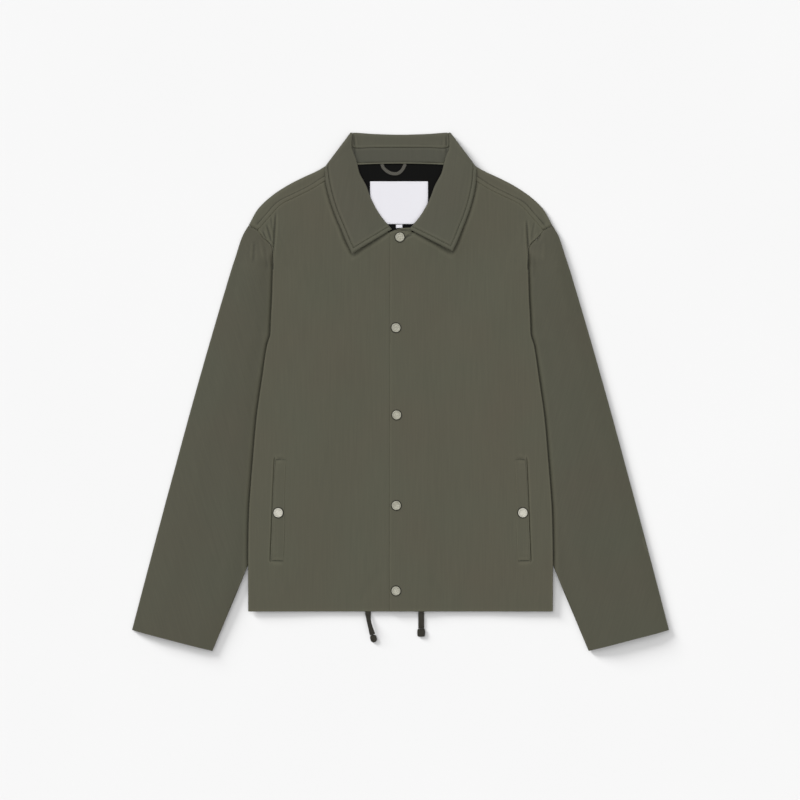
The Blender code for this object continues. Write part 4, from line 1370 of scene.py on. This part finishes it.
lining_height = height_on(neck_lining)
x_from, y_from, x_to, y_to = LABEL_BOX
rows = []
for down in even(40):
    row = []
    for across in even(52):
        x = x_from + (x_to - x_from) * across
        y = y_to + (y_from - y_to) * down
        rim = min(x - x_from, x_to - x, y - y_from, y_to - y)
        z = LABEL_LEVEL + folds_at(x, y, LABEL_FOLDS) + rim_dip(rim, 0.25)
        z -= 0.2 * math.exp(-(((rim - LABEL_INSET) / 0.9) ** 2))
        row.append(Vector((x, y, max(z, lining_height(x, y) + 0.5))))
    rows.append(row)
label = wear(cloth("white_label_piece", [rows], 0.7, label_damask), "white_label", "neck_label")

x_from, y_from, x_to, y_to = SIZE_TAB_BOX
rows = []
for across in even(8):
    x = x_from + (x_to - x_from) * across
    base = lining_height(x, (y_from + y_to) / 2) + 0.35
    row = [Vector((x, y_to - 1.2 * k, base)) for k in range(4)]
    centre = Vector((x, y_from + 0.6, base + TAB_PLY))
    row += turn(centre, Vector((0, -1, 0)), -TAB_PLY, HALF_TURN[1:-1])
    row += [Vector((x, y_to - 1.2 * k, base + 2 * TAB_PLY)) for k in range(3, -1, -1)]
    rows.append(row)
tab = wear(cloth("size_tab_piece", [rows], TAB_PLY, label_damask), "white_label", "size_tab")

# Hanger loop
# A folded and stitched tape of the shell's colour, 5 mm wide, caught in the neck seam at both
# ends and lying flat on the lining.
LOOP_PATH = [(-29, 352.5), (-26, 346), (-17, 339), (-6, 337.5), (2, 342.5), (7.5, 352.5)]
TAPE_WIDTH = 5.0
loop_tape, tree, shader = finish_of("ribbed_tape", "#57554e", 0.8, Specular_IOR_Level=0.25)
bands = {"bands_direction": "DIAGONAL"}
ribs = node(tree, "ShaderNodeTexWave", bands, Vector=own_place(tree), Scale=180.0).outputs["Fac"]
tint(tree, shader, ribs, "#4c4a43", "#605e57")
emboss(tree, shader, ribs, 0.4, 0.00015)
spots = sample(LOOP_PATH, even(44))
rows = []
for index, spot in enumerate(spots):
    before = spots[max(index - 1, 0)]
    after = spots[min(index + 1, len(spots) - 1)]
    along = (after - before).normalized()
    across = Vector((-along.y, along.x)) * TAPE_WIDTH / 2
    level = lining_height(*spot) + LAY + 0.55
    row = []
    for k in (-1, -0.82, -0.6, -0.3, 0, 0.3, 0.6, 0.82, 1):
        crown = 0.18 * (1 - abs(k) ** 2) - 0.22 * math.exp(-(((abs(k) - 0.72) / 0.09) ** 2))
        row.append(placed(spot + across * k, 1, level + crown))
    rows.append(row)
loop = wear(cloth("loop_of_tape", [rows], 0.9, loop_tape), "loop_tape", "hanger_loop")

# Pocket welts
# Each slanted pocket has one folded welt of twill laid on its front, open towards the side, with a
# short bar of dense stitching at the top and the bottom.
WELT_WALL = CLOTH * 0.8
WELT_RISE = 1.1
WELT_RAMP = 16  # over this width it comes up from its sewn edge and from its ends
INNER_SINK = 0.4  # the inner edge is felled flat, and only shows at its lower third
SINK_PLACE = (-225, 40, 7)  # up from where it is sunk, softness of that, width of the sunk strip


def make_welt(name, side, front):
    """A strip whose inner edge is turned under flush with its front, and whose opening edge
    stands off it."""
    height = height_on(front)
    sunk_from, sunk_soft, sunk_wide = SINK_PLACE
    rows = []
    for up, inner, opening in WELT:
        rows.append([Vector((side * (inner + (opening - inner) * k), up, 0)) for k in (0, 0.5, 1)])
    across = cuts_of(longest(rows), 1.5, RIM, RIM)
    fine = refined(rows, across, cuts_of(tallest(rows), 2.5, RIM, RIM))
    for row in fine:
        for p in row:
            ends = min((p - fine[0][0]).length, abs(p.y - fine[0][0].y), abs(p.y - fine[-1][0].y))
            opening = (p - row[-1]).length
            sewn = (p - row[0]).length
            ground = height(p.x, p.y) - pocket_mouth(side * p.x, p.y)
            stands = smooth((sewn - 1) / WELT_RAMP) * smooth(ends / WELT_RAMP)
            p.z = ground - WELT_WALL / 2 + 0.06 + WELT_RISE * stands
            p.z += rim_dip(opening, 0.4) * stands
            sunk = smooth((p.y - sunk_from) / sunk_soft) * (1 - smooth(sewn / sunk_wide))
            p.z -= INNER_SINK * sunk
    return cloth(name, [fine], WELT_WALL, body_twill)


welts = {}
for side, word, front in ((-1, "right", shell_right), (1, "left", shell_left)):
    welts[side] = wear(make_welt(f"welt_{word}", side, front), "body_shell", f"pocket_welt_{word}")

# Snaps
# Pressed brass caps, enamelled in pale stone, with a rolled rim round a slightly sunk, bare
# middle. Five close the front, and one closes each pocket, a little larger and paler.
SNAP_PROFILE = [  # (share of the radius, level) from the middle of the face to the underside
    (0, 1.9),
    (0.5, 1.85),
    (0.62, 1.95),
    (0.7, 2.4),
    (0.79, 2.6),
    (0.88, 2.4),
    (0.94, 1.9),
    (0.95, 1.2),
    (0.95, 0.5),
    (1.07, 0.45),
    (1.1, 0.2),
    (1.07, 0),
    (0, 0),
]
SNAP_STEPS = 40
RING_FROM = 0.955  # share of the radius beyond which the cap is painted near black, a ring of painted shade


def enamel(name, colour, other_tone):
    """Satin enamel on brass: an even coat with a soft gloss, thinner and greyer in its specks."""
    material, tree, shader = finish_of(name, colour, 0.38, Metallic=0.15)
    shader.inputs["Coat Weight"].default_value = 0.25
    shader.inputs["Coat Roughness"].default_value = 0.25
    speck = node(tree, "ShaderNodeTexNoise", Vector=own_place(tree), Scale=900.0, Detail=3.0)
    edge = node(tree, "ShaderNodeValToRGB", Fac=speck.outputs["Fac"])
    edge.color_ramp.elements[0].position = 0.42
    edge.color_ramp.elements[0].color = linear(other_tone)
    edge.color_ramp.elements[1].position = 0.58
    edge.color_ramp.elements[1].color = linear(colour)
    tree.links.new(edge.outputs["Color"], shader.inputs["Base Color"])
    emboss(tree, shader, speck.outputs["Fac"], 0.2, 0.0001)
    return material


def make_snap(name, x, y, diameter, pieces, material):
    """A cap turned about its own axis, standing on the highest cloth under its rim."""
    height = height_on(*pieces)
    radius = diameter / 2
    around = [math.radians(angle) for angle in range(0, 360, 30)]
    base = max(height(x + radius * math.cos(a), y + radius * math.sin(a)) for a in around)
    bm = bmesh.new()
    rim = [bm.verts.new((share * radius, 0, level)) for share, level in SNAP_PROFILE]
    for a, b in zip(rim, rim[1:]):
        bm.edges.new((a, b))
    bmesh.ops.subdivide_edges(bm, edges=bm.edges[:], cuts=1)
    bmesh.ops.spin(
        bm,
        geom=bm.verts[:] + bm.edges[:],
        cent=(0, 0, 0),
        axis=(0, 0, 1),
        angle=2 * math.pi,
        steps=SNAP_STEPS,
        use_merge=True,
    )
    bmesh.ops.remove_doubles(bm, verts=bm.verts, dist=0.01)
    bmesh.ops.recalc_face_normals(bm, faces=bm.faces)
    # the cap's foot takes the ring of painted shade
    for face in bm.faces:
        if face.calc_center_median().to_2d().length > RING_FROM * radius:
            face.material_index = 1
    place = Matrix.Scale(MM, 4) @ Matrix.Translation((x, y, base + 0.1))
    bmesh.ops.transform(bm, matrix=place, verts=bm.verts)
    snap = object_of(name, bm, material)
    snap.data.materials.append(painted_shade_ring)
    return snap


# A near-black, slightly metallic finish on the foot of each cap: painted shade, the thin dark ring
# where the cap meets the cloth
painted_shade_ring, tree, shader = finish_of("ring_of_painted_shade", "#23221b", 0.55, Metallic=0.6)
ring_bumps = node(tree, "ShaderNodeTexNoise", Vector=own_place(tree), Scale=700.0)
emboss(tree, shader, ring_bumps.outputs["Fac"], 0.2, 0.0001)
stone_enamel = enamel("stone_enamel", "#b9b8a8", "#8f8c7c")
pale_enamel = enamel("pale_stone_enamel", "#d2d0c3", "#b3b0a2")
for number, (x, y) in enumerate(FRONT_SNAPS, 1):
    snap = make_snap(f"snap_front_{number}", x, y, SNAP_CAP, [shell_left], stone_enamel)
    wear(snap, "snap_paint", f"front_snap_{number}")
for side, word, front in ((-1, "right", shell_right), (1, "left", shell_left)):
    x, y = side * POCKET_SNAP[0], POCKET_SNAP[1]
    snap = make_snap(f"snap_pocket_{word}", x, y, POCKET_CAP, [welts[side], front], pale_enamel)
    wear(snap, "snap_paint", f"pocket_snap_{word}")

# Stitching and piping
# Rows of polyester thread in the shell's colour, each stitch pressed into the cloth, and the thin
# bias piping that finishes the neck seam over the lining.
STITCH = 3.0
STITCH_GAP = 0.7
THREAD = 0.5
BAR_INSET = 1.3  # from the end of a welt to the middle of its bar
BAR_ROWS = 0.6  # from one row of a bar to the next


def thread_of(name, colour, roughness):
    """Spun polyester: two twisted plies, which show only as a fine unevenness."""
    material, tree, shader = finish_of(name, colour, roughness, Specular_IOR_Level=0.3)
    ply = node(tree, "ShaderNodeTexNoise", Vector=own_place(tree), Scale=1500.0)
    emboss(tree, shader, ply.outputs["Fac"], 0.3, 0.0001)
    return material


thread_grey = thread_of("polyester_thread", "#4a4a3e", 0.7)
white_thread = thread_of("white_thread", "#e4e3ea", 0.6)


def stitch_rows(name, lines, height, material, stitch=STITCH, gap=STITCH_GAP):
    """Stitches along lines of places, joined in one mesh and half sunk in the cloth."""
    bm = bmesh.new()
    for line in lines:
        reach = 0.0
        for a, b in zip(line, line[1:]):
            run = (b - a).length
            way = (b - a) / max(run, 0.001)
            while reach < run:
                mid = a + way * reach
                tail, head = mid - way * stitch / 2, mid + way * stitch / 2
                low, high = height(*tail), height(*head)
                slope = math.atan2(high - low, stitch)
                made = bmesh.ops.create_uvsphere(bm, u_segments=6, v_segments=5, radius=0.5)
                shape = Matrix.Diagonal((stitch, THREAD, THREAD * 0.8, 1))
                lean = Matrix.Rotation(math.atan2(way.y, way.x), 4, "Z")
                lean = lean @ Matrix.Rotation(-slope, 4, "Y")
                spot = Matrix.Translation((mid.x, mid.y, height(*mid) + THREAD * 0.12))
                lay = Matrix.Scale(MM, 4) @ spot @ lean @ shape
                bmesh.ops.transform(bm, matrix=lay, verts=made["verts"])
                reach += stitch + gap
            reach -= run
    return object_of(name, bm, material)


collar_height = height_on(collar_leaf)
fall_lines = []
for side in (-1, 1):
    roll = Vector((side * COLLAR_FRONT[0][0], COLLAR_FRONT[0][1]))
    edges = [leaf_edge(side, row) for row in COLLAR_FRONT]
    edges = [Vector((side * p.x, p.y)) for p in edges]
    tip = edges[0]
    front_way = (tip - roll).normalized()
    edge_way = (edges[1] - edges[0]).normalized()
    spread = abs(front_way.x * edge_way.y - front_way.y * edge_way.x)
    corner = tip + (edge_way - front_way) * COLLAR_RIM / spread
    aside = (corner - tip).project(Vector((-front_way.y, front_way.x)))
    front_start = roll + front_way * 8 + aside
    outer = []
    for a, b, c in zip(edges, edges[1:], edges[2:]):
        way = (c - a).normalized()
        normal = Vector((way.y, -way.x)) * -side
        outer.append(b + normal * COLLAR_RIM)
    fall_lines.append([front_start, corner])
    fall_lines.append(through([corner] + outer, even_cuts(len(outer), 6)))
wear(stitch_rows("collar_topstitch", fall_lines, collar_height, thread_grey), "collar_shell")

yoke_height = height_on(shell_back)
yoke_lines = []
for side in (-1, 1):
    seam = sample(FORWARD_SEAM, even(60))
    line = []
    for a, b in zip(seam, seam[1:]):
        way = (b - a).normalized()
        spot = (a + b) / 2 + Vector((-way.y, way.x)) * YOKE_STITCH
        line.append(Vector((side * spot.x, spot.y)))
    yoke_lines.append(line[9:-3])
wear(stitch_rows("yoke_topstitch", yoke_lines, yoke_height, thread_grey), "body_shell")

bars = []
for side in (-1, 1):
    for up, inner, opening in (WELT[0], WELT[-1]):
        inset = -BAR_INSET if up == WELT[0][0] else BAR_INSET
        for k in range(3):
            level = up + inset + BAR_ROWS * (k - 1)
            bars.append([Vector((side * x, level)) for x in (inner + 1.5, opening - 1.5)])
bar_height = height_on(*welts.values())
wear(stitch_rows("pocket_bars", bars, bar_height, thread_grey, 2.0, 0.2), "body_shell")

x_from, y_from, x_to, y_to = LABEL_BOX
corners = [
    Vector((x_from + LABEL_INSET, y_from + LABEL_INSET)),
    Vector((x_from + LABEL_INSET, y_to - LABEL_INSET)),
    Vector((x_to - LABEL_INSET, y_to - LABEL_INSET)),
    Vector((x_to - LABEL_INSET, y_from + LABEL_INSET)),
]
label_lines = [[a, b] for a, b in zip(corners, corners[1:] + corners[:1])]
stitches = stitch_rows("label_stitching", label_lines, height_on(label), white_thread, 2.0, 0.6)
wear(stitches, "white_label")

# Piping: a soft round cord in bias twill, a shade lighter where it catches the light
PIPING_RADIUS = 1.1
PIPING_SIDES = 10
piping_twill = twill("bias_piping", "#5a5c4c", "#5c594a", 45)
line = [Vector((x, 354.0 - 0.0004 * x * x, 6.1)) for x in range(-72, 73, 4)]
bm = bmesh.new()
bmesh.ops.create_grid(bm, x_segments=PIPING_SIDES, y_segments=len(line) - 1, size=0.5)
for vert in bm.verts:
    k = round((vert.co.y + 0.5) * (len(line) - 1))
    angle = 2 * math.pi * (vert.co.x + 0.5)
    spot = line[k] + Vector((0, math.cos(angle), math.sin(angle))) * PIPING_RADIUS
    vert.co = spot * MM
close_tube(bm)
piping = wear(object_of("neck_piping", bm, piping_twill), "collar_shell")

# Flat sizes
# The cut of what shows of each piece of cloth, in metres, as it would lie before it was sewn.
for piece, flat, area, extras in (
    (shell_back, (0.64, 0.74), 0.36, []),
    (shell_right, (0.33, 0.66), 0.18, []),
    (shell_left, (0.33, 0.66), 0.18, []),
    (sleeves[0], (0.48, 0.66), 0.195, []),
    (sleeves[1], (0.48, 0.66), 0.195, []),
    (collar_leaf, (0.6, 0.09), 0.038, []),
    (collar_band, (0.46, 0.03), 0.009, [piping, loop]),
    (neck_lining, (0.15, 0.12), 0.0155, []),
    (label, (0.0895, 0.0661), None, [tab]),
    (welts[-1], (0.02, 0.159), None, []),
    (welts[1], (0.02, 0.159), None, []),
):
    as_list(extras)
